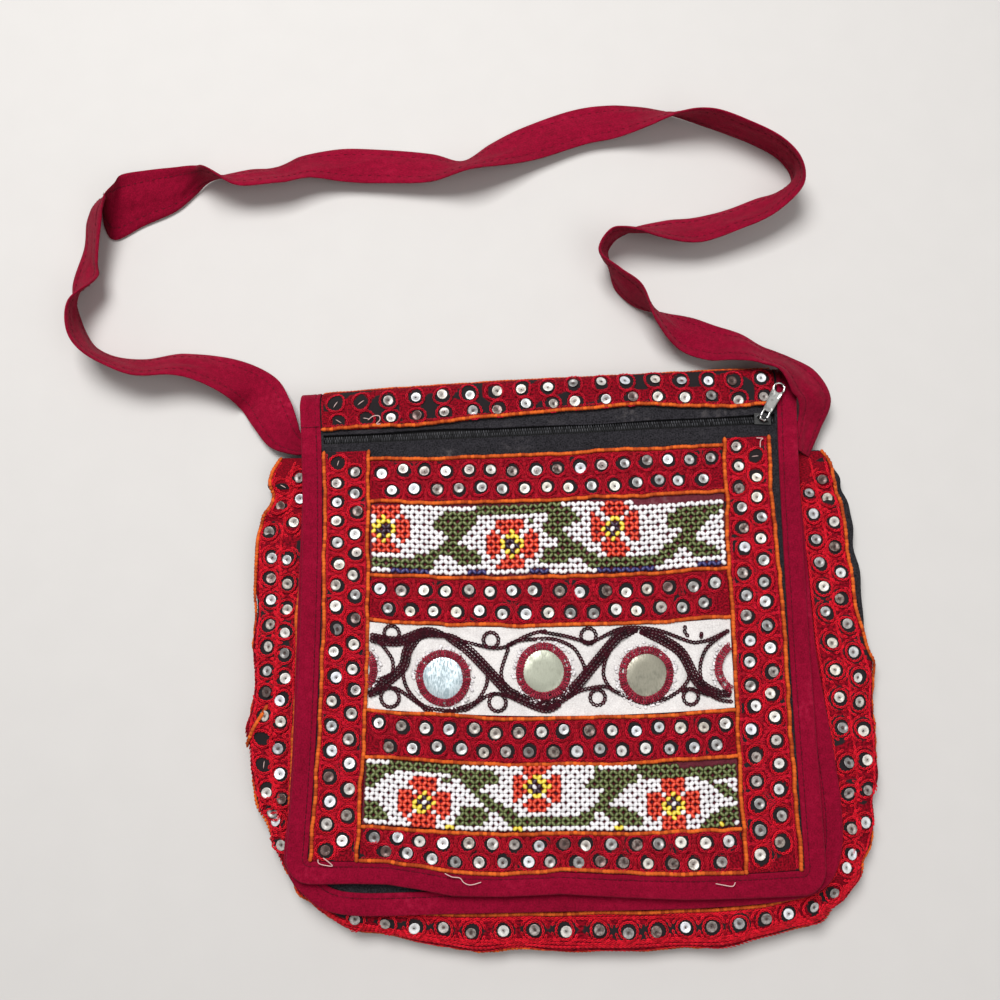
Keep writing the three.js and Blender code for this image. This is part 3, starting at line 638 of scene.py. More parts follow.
class Sock:
    """Socket with the arithmetic that the finishes use."""

    def __init__(self, shader: "Shader", socket: bpy.types.NodeSocket) -> None:
        """Wraps one output socket of a shader's tree."""
        self.shader = shader
        self.socket = socket

    def _math(self, operation: str, *values: Any) -> "Sock":
        """Math node on these values."""
        return self.shader.node("ShaderNodeMath", {"operation": operation}, dict(enumerate(values)))

    def __add__(self, other: Any) -> "Sock":
        """Sum."""
        return self._math("ADD", self, other)

    __radd__ = __add__

    def __sub__(self, other: Any) -> "Sock":
        """Difference."""
        return self._math("SUBTRACT", self, other)

    def __rsub__(self, other: Any) -> "Sock":
        """Reflected difference."""
        return self._math("SUBTRACT", other, self)

    def __mul__(self, other: Any) -> "Sock":
        """Product."""
        return self._math("MULTIPLY", self, other)

    __rmul__ = __mul__

    def sin(self) -> "Sock":
        """Sine."""
        return self._math("SINE", self)

    def fract(self) -> "Sock":
        """Part after the point."""
        return self._math("FRACT", self)

    def clamp(self) -> "Sock":
        """Value held from 0 to 1."""
        return self.shader.node("ShaderNodeClamp", {}, {"Value": self})

    def ramp(self, low: float, high: float) -> "Sock":
        """Smooth mask from 0 at low to 1 at high."""
        span = {"Value": self, "From Min": low, "From Max": high}
        return self.shader.node("ShaderNodeMapRange", {"interpolation_type": "SMOOTHSTEP"}, span)


class Shader:
    """Material under construction, with one Principled shader."""

    def __init__(self, name: str) -> None:
        """Starts an empty material."""
        self.material = bpy.data.materials.new(name)
        self.material.use_nodes = True
        self.tree = self.material.node_tree
        self.surface = self.tree.nodes["Principled BSDF"]

    def node(self, kind: str, settings: dict[str, Any], inputs: dict[Any, Any], output: Any = 0) -> Sock:
        """Adds a node.

        Args:
            kind: node type.
            settings: properties, set first.
            inputs: values or links by socket name or number.
            output: name or number of the output that is wanted.

        Returns:
            The wrapped output.
        """
        node = self.tree.nodes.new(kind)
        for key, value in settings.items():
            setattr(node, key, value)
        for key, value in inputs.items():
            self.feed(node.inputs[key], value)
        return Sock(self, node.outputs[output])

    def feed(self, socket: bpy.types.NodeSocket, value: Any) -> None:
        """Links or sets one input."""
        if isinstance(value, Sock):
            self.tree.links.new(value.socket, socket)
        elif socket.type == "RGBA":
            socket.default_value = (*value, 1.0)
        else:
            socket.default_value = value

    def mix(self, mask: Any, low: Any, high: Any) -> Sock:
        """Colour between two colours by a mask."""
        settings = {"data_type": "RGBA"}
        return self.node("ShaderNodeMix", settings, {0: mask, 6: low, 7: high}, output=2)

    def attribute(self, name: str, output: str = "Fac") -> Sock:
        """Value that the mesh carries."""
        return self.node("ShaderNodeAttribute", {"attribute_name": name}, {}, output)

    def noise(self, place: Sock, scale: float, detail: float = 3.0) -> Sock:
        """Noise value at a scale for each metre."""
        return self.node("ShaderNodeTexNoise", {}, {"Vector": place, "Scale": scale, "Detail": detail})

    def place(self) -> Sock:
        """Object coordinates."""
        return self.node("ShaderNodeTexCoord", {}, {}, "Object")

    def flat(self) -> tuple[Sock, Sock, Sock]:
        """Flat place on the cloth and its two parts, in metres."""
        uv = self.node("ShaderNodeUVMap", {"uv_map": "cloth"}, {})
        parts = self.node("ShaderNodeSeparateXYZ", {}, {0: uv})
        return uv, parts, Sock(self, parts.socket.node.outputs[1])

    def weave(self, u: Sock, v: Sock, pitch: float) -> Sock:
        """Crossing threads a pitch in millimetres apart, from -1 to 1."""
        turns = 2 * math.pi / (pitch * MM)
        return (u * turns).sin() * (v * turns).sin()

    def finish(
        self,
        bump: Optional[Sock] = None,
        height: float = 0.0002,
        **sockets: Any,
    ) -> bpy.types.Material:
        """Sets the shader's sockets and the bump.

        Args:
            bump: height field.
            height: depth of the bump in metres.
            sockets: Principled inputs, with underscores for spaces.

        Returns:
            The finished material.
        """
        for name, value in sockets.items():
            self.feed(self.surface.inputs[name.replace("_", " ")], value)
        if bump is not None:
            normal = self.node("ShaderNodeBump", {}, {"Height": bump, "Distance": height, "Strength": 0.8})
            self.feed(self.surface.inputs["Normal"], normal)
        return self.material


# Distance from thread to thread of the cotton, in millimetres
WEAVE_PITCH = 0.55


@dataclass(frozen=True)
class CottonFinish:
    """Plain woven cotton on its own flat coordinates."""

    name: str
    dark: Colour
    light: Colour
    pitch: float = WEAVE_PITCH
    fade: Colour = (0.5, 0.5, 0.5)
    worn: float = 0.12
    crease: float = 0.0
    grain: float = 0.5

    def material(self) -> bpy.types.Material:
        """Builds the cotton."""
        s = Shader(self.name)
        uv, u, v = s.flat()
        weave = s.weave(u, v, self.pitch) * 0.5 + 0.5
        slub = s.noise(uv, 260.0, 4.0)
        patch = s.noise(uv, 26.0, 3.0)
        fibre = s.noise(uv, 1100.0, 2.0)
        grain = fibre.ramp(0.5 - self.grain, 0.5 + self.grain)
        tone = (weave * 0.3 + slub * 0.6 + patch * 0.45 + grain * 0.7 - 0.6).clamp()
        colour = s.mix(tone, self.dark, self.light)
        wear = patch.ramp(0.52, 0.75) * slub.ramp(0.45, 0.7) * self.worn
        colour = s.mix(wear, colour, self.fade)
        height = weave * 0.5 + slub * 0.6
        if self.crease:
            height = height + s.noise(uv, 60.0, 2.0) * self.crease
        return s.finish(
            bump=height, height=0.00022, Base_Color=colour, Roughness=0.86 - 0.12 * slub,
            Sheen_Weight=0.03, Sheen_Roughness=0.5, Specular_IOR_Level=0.06,
        )


@dataclass(frozen=True)
class ThreadFinish:
    """Embroidery thread, a shade of its own on each stitch."""

    name: str
    dark: Colour
    light: Colour
    gloss: float = 0.55

    def material(self) -> bpy.types.Material:
        """Builds the thread."""
        s = Shader(self.name)
        place = s.place()
        ply = s.noise(place, 2600.0, 2.0)
        tone = (s.attribute("tint") * 0.75 + ply * 0.5 - 0.12).clamp()
        return s.finish(
            bump=ply, height=0.00012, Base_Color=s.mix(tone, self.dark, self.light),
            Roughness=self.gloss + 0.2 * ply, Sheen_Weight=0.02, Specular_IOR_Level=0.14,
        )


@dataclass(frozen=True)
class GroundFinish:
    """Cloth under the embroidery: stitched over, with bare charcoal cells."""

    name: str
    stitched: Colour
    deep: Colour
    bare: Colour

    def material(self) -> bpy.types.Material:
        """Builds the ground."""
        s = Shader(self.name)
        uv, u, v = s.flat()
        rows = s.noise(uv, 900.0, 2.0)
        rough = s.noise(uv, 300.0, 3.0)
        thread = s.mix(rows.ramp(0.35, 0.65), self.deep, self.stitched)
        mask = (s.attribute("bare") + (rough - 0.5) * 0.5).ramp(0.35, 0.6)
        weave = s.weave(u, v, WEAVE_PITCH)
        cloth = s.mix(weave * 0.5 + 0.5, tuple(0.7 * c for c in self.bare), self.bare)
        height = (1 - mask) * rows + mask * weave * 0.3
        return s.finish(
            bump=height, height=0.0005, Base_Color=s.mix(mask, thread, cloth),
            Roughness=0.85 - 0.1 * rows, Specular_IOR_Level=0.06,
        )


@dataclass(frozen=True)
class SequinFinish:
    """Silvered cup sequins: a painted reflection makes some bright, and the rest are dull, partly tarnish and
    partly painted shade.
    """

    name: str = "sequin_silver"

    def material(self) -> bpy.types.Material:
        """Builds the sequin."""
        s = Shader(self.name)
        place = s.place()
        cloud = s.noise(place, 700.0, 3.0)
        tint = s.attribute("tint")
        tone = (tint * 0.95 + cloud * 0.8 - 0.47).clamp()
        hue = (tint * 7.3).fract()
        # bright is a painted reflection on the sequins that seem to catch the light; the dull tones are
        # partly tarnish and partly painted shade
        bright = s.mix(hue, srgb(250, 244, 228), srgb(240, 244, 252))
        tarnish_and_painted_shade = s.mix(hue.ramp(0.3, 0.7), srgb(96, 74, 70), srgb(140, 138, 136))
        colour = s.mix(tone, tarnish_and_painted_shade, bright)
        colour = s.mix((s.attribute("ring") * (1 - 0.45 * tone)).clamp(), colour, srgb(58, 44, 42))
        return s.finish(
            bump=cloud, height=0.0001, Base_Color=colour, Metallic=0.5 - 0.35 * tone,
            Roughness=0.24 + 0.25 * cloud, Specular_IOR_Level=0.5,
        )


@dataclass(frozen=True)
class BeadFinish:
    """Glass seed beads: each bead's own colour, with a painted highlight along its top."""

    name: str = "seed_bead"

    def material(self) -> bpy.types.Material:
        """Builds the glass."""
        s = Shader(self.name)
        cloud = s.noise(s.place(), 1500.0, 2.0)
        core = s.attribute("paint", "Color")
        # edge is the colour of each bead's painted highlight, laid along the bead's top where rim marks it
        edge = s.attribute("edge", "Color")
        colour = s.mix((s.attribute("rim") + (cloud - 0.5) * 0.4).clamp(), core, edge)
        return s.finish(Base_Color=colour, Roughness=0.22 + 0.2 * cloud, Specular_IOR_Level=0.35)


@dataclass(frozen=True)
class MirrorFinish:
    """Old silvered mirror with fine scratches and specks, on a base colour that is a painted reflection."""

    name: str
    clear: Colour
    dull: Colour
    speck: float = 0.5

    def material(self) -> bpy.types.Material:
        """Builds the mirror."""
        s = Shader(self.name)
        place = s.place()
        scratches = {"Vector": place, "Scale": (1.0, 0.3, 1.0), "Rotation": (0.0, 0.0, 0.2)}
        grain = s.noise(s.node("ShaderNodeMapping", {}, scratches), 1300.0, 5.0)
        cloud = s.noise(place, 190.0, 3.0)
        # clear is a painted reflection, what the mirror faces laid in as colour; dull marks specks, scratches
        # and patches of old silvering
        mask = (grain.ramp(0.40, 0.62) * self.speck + cloud.ramp(0.35, 0.7) * 0.5).clamp()
        return s.finish(
            bump=grain, height=0.00004, Base_Color=s.mix(mask, self.clear, self.dull),
            Metallic=0.45 - 0.2 * mask, Roughness=0.28 + 0.25 * mask,
        )


@dataclass(frozen=True)
class MetalFinish:
    """Bright plated zinc with rubbed and tarnished patches."""

    name: str
    bright: Colour
    dull: Colour

    def material(self) -> bpy.types.Material:
        """Builds the plating."""
        s = Shader(self.name)
        place = s.place()
        cloud = s.noise(place, 500.0, 4.0)
        fine = s.noise(place, 3000.0, 2.0)
        colour = s.mix(cloud.ramp(0.45, 0.8) * 0.6, self.bright, self.dull)
        return s.finish(
            bump=fine, height=0.00002, Base_Color=colour, Metallic=0.9, Roughness=0.22 + 0.16 * cloud,
        )


@dataclass(frozen=True)
class NylonFinish:
    """Black nylon of the zip."""

    name: str
    dark: Colour
    light: Colour

    def material(self) -> bpy.types.Material:
        """Builds the nylon."""
        s = Shader(self.name)
        cloud = s.noise(s.place(), 1800.0, 3.0)
        return s.finish(
            bump=cloud, height=0.00015, Base_Color=s.mix(cloud, self.dark, self.light),
            Roughness=0.5 + 0.2 * cloud, Specular_IOR_Level=0.2,
        )


class Finishes:
    """Every finish of the bag, built once."""

    def __init__(self) -> None:
        """Builds the materials."""
        self.crimson = CottonFinish(
            "crimson_cotton", srgb(90, 2, 23), srgb(168, 9, 53), fade=srgb(180, 44, 74), worn=0.3,
        ).material()
        self.charcoal = CottonFinish(
            "charcoal_cotton", srgb(11, 11, 13), srgb(60, 58, 63), fade=srgb(112, 106, 104), worn=0.5,
            grain=0.25,
        ).material()
        self.white = CottonFinish(
            "white_cotton", srgb(194, 188, 186), srgb(250, 247, 244), fade=srgb(206, 188, 180), worn=0.2,
            crease=3.5,
        ).material()
        self.ground = GroundFinish(
            "stitched_ground", srgb(146, 8, 29), srgb(78, 5, 16), srgb(46, 42, 44),
        ).material()
        self.red = ThreadFinish("red_thread", srgb(146, 4, 26), srgb(222, 18, 50)).material()
        self.deep_red = ThreadFinish("deep_red_thread", srgb(122, 4, 21), srgb(198, 13, 41)).material()
        self.scarlet = ThreadFinish("scarlet_thread", srgb(172, 6, 26), srgb(246, 24, 50)).material()
        self.orange = ThreadFinish("orange_thread", srgb(136, 40, 10), srgb(232, 108, 36)).material()
        self.maroon = ThreadFinish("maroon_thread", srgb(28, 3, 11), srgb(76, 12, 30)).material()
        self.rose = ThreadFinish("rose_thread", srgb(108, 15, 34), srgb(178, 52, 74)).material()
        self.stitch = ThreadFinish("sewing_thread", srgb(72, 3, 20), srgb(112, 7, 36)).material()
        self.pale = ThreadFinish("pale_thread", srgb(206, 168, 164), srgb(246, 226, 220)).material()
        self.white_thread = ThreadFinish("white_thread", srgb(196, 190, 192), srgb(248, 244, 244)).material()
        self.knot = ThreadFinish("knot_thread", srgb(20, 14, 16), srgb(110, 84, 78)).material()
        self.sequin = SequinFinish().material()
        self.bead = BeadFinish().material()
        self.net = CottonFinish("bead_net", srgb(66, 20, 30), srgb(126, 54, 66), pitch=0.8).material()
        # Each mirror's clear colour is a painted reflection of what it faces; its dull colour is old
        # silvering.
        self.mirrors = [
            MirrorFinish(name, srgb(*clear), srgb(*dull), speck).material()
            for name, clear, dull, speck in (
                ("mirror_pale", (202, 214, 218), (142, 158, 164), 0.8),
                ("mirror_grey", (174, 177, 160), (138, 140, 124), 0.4),
                ("mirror_dim", (154, 150, 134), (114, 112, 98), 0.5),
            )
        ]
        self.metal = MetalFinish("zip_metal", srgb(206, 206, 202), srgb(96, 94, 90)).material()
        self.slider = MetalFinish("zip_slider_metal", srgb(92, 92, 92), srgb(38, 38, 40)).material()
        self.nylon = NylonFinish("zip_nylon", srgb(7, 7, 8), srgb(26, 25, 27)).material()
        # The coil's lighter tones, up to mid grey on black nylon, are painted highlight on its ridges.
        self.coil = ThreadFinish("zip_coil_nylon", srgb(5, 5, 6), srgb(92, 92, 96), 0.4).material()


# Stitches and other repeats


@dataclass
class Places:
    """Points that carry repeated shapes: where, which way along and which way out."""

    at: list[Array] = field(default_factory=list)
    along: list[Array] = field(default_factory=list)
    out: list[Array] = field(default_factory=list)
    grow: list[Array] = field(default_factory=list)

    def add(self, at: Array, along: Array, out: Array, grow: Any = 1.0) -> None:
        """Adds a run of points."""
        self.at.append(np.atleast_2d(at))
        self.along.append(np.atleast_2d(along))
        self.out.append(np.atleast_2d(out))
        self.grow.append(np.broadcast_to(np.asarray(grow, float), (len(self.at[-1]),)))

    def stand(self, at: Array, ahead: Array, over: Array) -> None:
        """Adds points by a place ahead of each and a place over each."""
        self.add(at, unit(ahead - at), unit(over - at))

    def count(self) -> int:
        """How many points there are."""
        return sum(len(run) for run in self.at)

    def lay(self, surface: Surface, line: Array, spacing: float, height: float, closed: bool = False) -> None:
        """Sets points along a line on a surface.

        Args:
            surface: surface with a point method.
            line: dense line in the surface's two coordinates.
            spacing: distance from point to point in millimetres.
            height: height out of the surface.
            closed: true for a ring.
        """
        dense = surface.point(line[:, 0], line[:, 1], height)
        length = distances(dense)
        total, step = length[-1], 0.4
        count = max(2, int(round(total / spacing)))
        want = (np.arange(count) + (0.0 if closed else 0.5)) / count * total
        u, v = rows_at(want, length, line).T
        beside = ((want + k) % total if closed else np.clip(want + k, 0, total) for k in (step, -step))
        far, near = (rows_at(place, length, dense) for place in beside)
        at = surface.point(u, v, height)
        self.add(at, unit(far - near), unit(surface.point(u, v, height + 0.5) - at))


class Repeat:
    """Geometry Nodes tree that sets one shape on every point, turned to the point's own axes."""

    def __init__(self) -> None:
        """Builds the tree."""
        tree = bpy.data.node_groups.new("repeat_on_points", "GeometryNodeTree")
        face = tree.interface
        sockets = {
            "Points": "Geometry", "Shape": "Object", "Finish": "Material",
            "Length": "Float", "Width": "Float", "Height": "Float",
        }
        self.sockets = {
            name: face.new_socket(name=name, in_out="INPUT", socket_type=f"NodeSocket{kind}").identifier
            for name, kind in sockets.items()
        }
        face.new_socket(name="Geometry", in_out="OUTPUT", socket_type="NodeSocketGeometry")
        nodes, links = tree.nodes, tree.links
        start, end = nodes.new("NodeGroupInput"), nodes.new("NodeGroupOutput")

        def carried(name: str, kind: str) -> bpy.types.NodeSocket:
            """Attribute that the points carry."""
            node = nodes.new("GeometryNodeInputNamedAttribute")
            node.data_type = kind
            node.inputs["Name"].default_value = name
            return node.outputs["Attribute"]

        turn = nodes.new("FunctionNodeAxesToRotation")
        turn.primary_axis, turn.secondary_axis = "Z", "X"
        links.new(carried("out", "FLOAT_VECTOR"), turn.inputs[0])
        links.new(carried("along", "FLOAT_VECTOR"), turn.inputs[1])
        size = nodes.new("ShaderNodeCombineXYZ")
        for i, name in enumerate(("Length", "Width", "Height")):
            links.new(start.outputs[name], size.inputs[i])
        scale = nodes.new("ShaderNodeVectorMath")
        scale.operation = "SCALE"
        links.new(size.outputs[0], scale.inputs[0])
        links.new(carried("grow", "FLOAT"), scale.inputs["Scale"])
        shape = nodes.new("GeometryNodeObjectInfo")
        links.new(start.outputs["Shape"], shape.inputs["Object"])
        put = nodes.new("GeometryNodeInstanceOnPoints")
        links.new(start.outputs["Points"], put.inputs["Points"])
        links.new(shape.outputs["Geometry"], put.inputs["Instance"])
        links.new(turn.outputs[0], put.inputs["Rotation"])
        links.new(scale.outputs[0], put.inputs["Scale"])
        real = nodes.new("GeometryNodeRealizeInstances")
        links.new(put.outputs[0], real.inputs[0])
        paint = nodes.new("GeometryNodeSetMaterial")
        links.new(real.outputs[0], paint.inputs["Geometry"])
        links.new(start.outputs["Finish"], paint.inputs["Material"])
        links.new(paint.outputs[0], end.inputs[0])
        self.tree = tree

    def run(
        self,
        name: str,
        places: Places,
        shape: bpy.types.Mesh,
        finish: bpy.types.Material,
        size: tuple[float, float, float] = (1.0, 1.0, 1.0),
        seed: int = 1,
        paint: Optional[dict[str, Array]] = None,
    ) -> bpy.types.Object:
        """Makes one plain mesh of a shape on every point.

        Args:
            name: piece name.
            places: the points.
            shape: repeated mesh, long axis along X and out along Z.
            finish: material.
            size: scale along, across and out.
            seed: fixed seed of the stitches' shades.
            paint: colours of the points, by attribute name.

        Returns:
            The piece.
        """
        at = np.concatenate(places.at)
        mesh = bpy.data.meshes.new(name)
        mesh.from_pydata((at * MM).tolist(), [], [])
        tint = np.random.default_rng(seed).uniform(0, 1, len(at))
        carry_values(mesh, "along", np.concatenate(places.along), "FLOAT_VECTOR", "vector")
        carry_values(mesh, "out", np.concatenate(places.out), "FLOAT_VECTOR", "vector")
        carry_values(mesh, "grow", np.concatenate(places.grow))
        carry_values(mesh, "tint", tint)
        for key, values in (paint or {}).items():
            carry_values(mesh, key, values, "FLOAT_COLOR", "color")
        piece = linked(name, mesh)
        source = linked(f"{name}_shape", shape)
        nodes = piece.modifiers.new("repeat", "NODES")
        nodes.node_group = self.tree
        for key, value in zip(("Shape", "Finish", "Length", "Width", "Height"), (source, finish, *size)):
            nodes[self.sockets[key]] = value
        graph = bpy.context.evaluated_depsgraph_get()
        made = bpy.data.meshes.new_from_object(piece.evaluated_get(graph), depsgraph=graph)
        piece.modifiers.clear()
        piece.data = made
        for key in ("along", "out", "grow"):
            used = made.attributes.get(key)
            if used is not None:
                made.attributes.remove(used)
        made.name = name
        bpy.data.objects.remove(source)
        bpy.data.meshes.remove(mesh)
        return piece


class Shapes:
    """Small shapes that repeat, each of under a hundred faces."""

    def __init__(self) -> None:
        """Builds the shapes."""
        self.link = self._link("chain_link", 0.37)
        self.tight = self._link("tight_link", 0.46)
        self.plump = self._plump()
        self.stitch = self._stitch()
        self.sequin = self._sequin()
        self.knot = lathe_mesh("knot", [(0, 0.45), (0.45, 0.3), (0.6, 0.0), (0, -0.1)], 7)
        self.bead = self._bead()
        self.tooth = self._tooth()

    def _link(self, name: str, wire: float) -> bpy.types.Mesh:
        """Teardrop link of a chain stitch, 2.6 mm long, of a wire's radius."""
        turn = round_turn(5)
        x = 1.3 * np.cos(turn)
        y = 0.5 * np.sin(turn) * (1 + 0.35 * np.cos(turn))
        z = 0.3 * np.cos(turn) + 0.3
        return tube_mesh(name, np.stack([x, y, z], -1), wire, 3, closed=True)

    def _plump(self) -> bpy.types.Mesh:
        """Tight chain stitch with no hole, 2.6 mm long and thicker at its head."""
        path = np.array([(-1.3, 0.0, 0.0), (-0.5, 0.0, 0.28), (0.7, 0.0, 0.4), (1.25, 0.0, 0.2)])
        return tube_mesh("plump_stitch", path, np.array([0.3, 0.74, 0.86, 0.4]), 5)

    def _sequin(self) -> bpy.types.Mesh:
        """Shallow cup sequin with its middle, its step and its rim marked."""
        sides = 12
        profile = [
            (0, 0.0), (0.7, -0.03), (1.35, 0.03), (1.6, 0.12), (2.95, 0.36),
            (3.4, 0.40), (3.5, 0.30), (1.5, -0.14), (0, -0.2),
        ]
        marks = np.array([1.0, 0.85, 0.5, 0.05, 0.0, 0.2, 0.6, 0.6, 0.6])
        mesh = lathe_mesh("sequin", profile, sides)
        carry_values(mesh, "ring", np.concatenate([marks[:1], np.repeat(marks[1:-1], sides), marks[-1:]]))
        return mesh

    def _stitch(self) -> bpy.types.Mesh:
        """Sewing stitch, 2.4 mm long, that dips at both ends."""
        path = np.array([(-1.2, 0.0, -0.22), (-0.6, 0.0, 0.08), (0.6, 0.0, 0.08), (1.2, 0.0, -0.22)])
        return tube_mesh("sewn_stitch", path, np.array([0.14, 0.24, 0.24, 0.14]), 4)

    def _bead(self) -> bpy.types.Mesh:
        """Round seed bead whose hole runs along X, with its painted highlight along its top marked."""
        wide = 1.12
        profile = [(0, 0.85), (0.75, 0.98), (wide, 0.45), (wide, -0.45), (0.75, -0.98), (0, -0.85)]
        mesh = lathe_mesh("seed_bead", profile, 6)
        for vertex in mesh.vertices:
            vertex.co = (vertex.co.z, vertex.co.y, -vertex.co.x)
        place = np.array([vertex.co[:] for vertex in mesh.vertices])
        # Painted highlight: pale along the bead's top ridge, none on its lower half.
        painted_highlight = 1 - smoothstep(np.abs(place[:, 1]) / (wide * MM), 0.15, 0.6)
        carry_values(mesh, "rim", np.where(place[:, 2] > 0, painted_highlight, 0.0))
        return mesh

    def _tooth(self) -> bpy.types.Mesh:
        """One loop of the zip's coil."""
        turn = np.linspace(-0.5, 1.5, 6) * math.pi
        path = np.stack([0.16 * (turn / math.pi - 0.5), np.cos(turn), 0.45 * np.sin(turn) + 0.45], -1)
        return tube_mesh("coil_tooth", path, 0.3, 4)


# Placing pieces in the frame


def keep_piece(piece: bpy.types.Object, slot: str, *nodes: str, body: str = BODY) -> bpy.types.Object:
    """Rides a piece on its body and hides the solids it stands for.

    Args:
        piece: finished piece.
        slot: material slot of the record; not used.
        nodes: CAD nodes that it replaces.
        body: body that carries it.

    Returns:
        The piece.
    """
    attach(piece, body)
    if nodes:
        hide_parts(*nodes)
    LOG.info("%s: %d faces", piece.name, len(piece.data.polygons))
    return piece


class Maker:
    """What every sub-assembly shares: finishes, small shapes and the repeat tree."""

    def __init__(self) -> None:
        """Builds the shared things."""
        self.finishes = Finishes()
        self.shapes = Shapes()
        self.repeat = Repeat()


# Bindings


@dataclass(frozen=True)
class BoundEdge:
    """U-shaped edge: down one side, round two corners and up the other side."""

    width: float
    side: float
    corner: float

    @property
    def half(self) -> float:
        """Length from the start to the end of the first corner."""
        return self.side + self.corner * math.pi / 2

    @property
    def total(self) -> float:
        """Length of the whole edge."""
        return 2 * self.half + self.width - 2 * self.corner

    def at(self, station: Array, inward: Array) -> tuple[Array, Array]:
        """Flat place at a distance in from the edge.

        Args:
            station: distance along the edge.
            inward: distance in from it.

        Returns:
            Distance across from the first side, and down from the edge's start.
        """
        mirrored = station > self.total / 2
        s = np.where(mirrored, self.total - station, station)
        angle = np.clip((s - self.side) / self.corner, 0, math.pi / 2)
        r = self.corner - inward
        across = np.where(s < self.side, inward, self.corner - r * np.cos(angle))
        across = across + np.maximum(s - self.half, 0)
        down = np.where(s < self.side, s, self.side + r * np.sin(angle))
        return np.where(mirrored, self.width - across, across), down


@dataclass
class Binding:
    """Strip of crimson cotton folded over a cloth edge, with its line of stitches."""

    node: str
    owner: str
    cloth: float
    place: Callable[[Array, Array, Array], Array]
    stations: Array
    seed: int
    flat_width: float = 31.0
    width: float = 12.5
    wall: float = 1.0
    gap: float = 0.3
    stitch_in: float = 9.6
    stitch_step: float = 2.9
    stitch_ends: float = 2.0
    dent: float = 0.5
    dent_width: float = 0.8
    pucker: float = 0.28
    doubled: float = 0.45
    join: float = -1.0

    @property
    def inside(self) -> float:
        """Height of a leaf's inner face about the cloth."""
        return self.cloth / 2 + self.gap

    @property
    def outside(self) -> float:
        """Height of a leaf's outer face about the cloth."""
        return self.inside + self.wall

    def profile(self) -> Array:
        """Section: distance in from the fold and height about the cloth, round outside and back inside."""
        inner, outer = self.inside, self.outside
        turn = np.linspace(-1, 1, 7) * math.pi / 2
        fold = [(0.5 * outer - 0.5 * outer * math.cos(t), outer * math.sin(t)) for t in turn]
        leaf = [3.2, 6.0, 8.6, 9.6, 10.8, self.width - 0.3]
        top = [(x, outer) for x in leaf] + [(self.width, outer - 0.25), (self.width, inner)]
        under = [(x, -h) for x, h in reversed(top)]
        mouth = [(self.wall, inner), (self.wall, -inner)]
        return np.array([*fold, *top, *mouth, *under])

    def strip(self, maker: Maker, run: Array) -> bpy.types.Object:
        """Folded strip.

        Args:
            maker: shared things.
            run: distance of each station along the edge.

        Returns:
            The strip, with puckers, a dent along its stitches and a thicker part up to its join.
        """
        profile = self.profile()
        size = len(profile)
        inward, level = profile[None, :, 0], profile[None, :, 1]
        soft = smoothstep(inward, 2.0, 6.0) * (level > 0)
        off_line = (inward - self.stitch_in) / self.dent_width
        dent = -self.dent * np.exp(-(off_line ** 2)) * (level > self.cloth)
        lift = self.pucker * Noise(self.seed, 7, 14.0)(run[:, None], inward * 2) * soft + dent
        before = 1 - smoothstep(run, self.join - 0.3, self.join + 0.3)
        lift = lift + self.doubled * before[:, None] * (level > 0)
        lift = np.where(level > self.inside + 0.05, lift, 0)
        height = level + np.maximum(lift, -self.wall * 0.6)
        stations, inward = (np.broadcast_to(rows, lift.shape) for rows in (self.stations[:, None], inward))
        points = self.place(stations.ravel(), inward.ravel(), height.ravel())
        points[:, 2] = np.maximum(points[:, 2], 0.03)
        uv = np.stack([np.repeat(run, size), np.tile(distances(profile), len(run))], -1) * MM
        faces = ring_faces(len(run), size)
        return mesh_object(f"{self.node}_strip", points, faces, maker.finishes.crimson, uv)

    def stitches(self, run: Array) -> Places:
        """Stitches along the strip and across its join, if it has one."""
        stitches = Places()
        inset, level = np.full(len(run), self.stitch_in), np.full(len(run), self.outside)
        inner, lifted = (self.place(self.stations, inset, level + h) for h in (-0.12, 0.5))
        length = distances(inner)
        want = np.arange(self.stitch_ends, length[-1] - self.stitch_ends, self.stitch_step)
        at, up, fore = (
            rows_at(want + shift, length, rows) for rows, shift in ((inner, 0.0), (lifted, 0.0), (inner, 0.6))
        )
        at[:, 2] = np.maximum(at[:, 2], 0.45)
        stitches.stand(at, fore, up)
        if self.join > 0:
            inward = np.arange(1.6, self.width, 2.3)
            here = np.full(len(inward), np.interp(self.join + 0.6, run, self.stations))
            high = np.full(len(inward), self.outside + 0.1)
            at, up, fore = (self.place(here, inward + k, high + h) for k, h in ((0, 0), (0, 0.5), (0.6, 0)))
            stitches.stand(at, fore, up)
        return stitches

    def build(self, maker: Maker) -> None:
        """Makes the folded strip and its stitches."""
        zeros = np.zeros(len(self.stations))
        run = distances(self.place(self.stations, zeros, zeros))
        strip = keep_piece(self.strip(maker, run), "crimson_cotton", self.node)
        look = (maker.shapes.stitch, maker.finishes.stitch)
        sewn = maker.repeat.run(f"{strip.name}_stitches", self.stitches(run), *look, seed=self.seed)
        keep_piece(sewn, "crimson_cotton")
        flat = (self.flat_width * MM, run[-1] * MM)


# Embroidered bands

# Run, across and whether the sequin is there
Cell = tuple[float, float, bool]
# Spacing of the red chain, of the rings' links and of the orange borders, in millimetres
CHAIN_STEP = 2.4
RING_STEP = 2.25
BORDER_STEP = 2.2


class Lay(Enum):
    """How a band's two rows of sequins stand to each other."""

    STAGGERED = 0.5
    PAIRED = 0.12


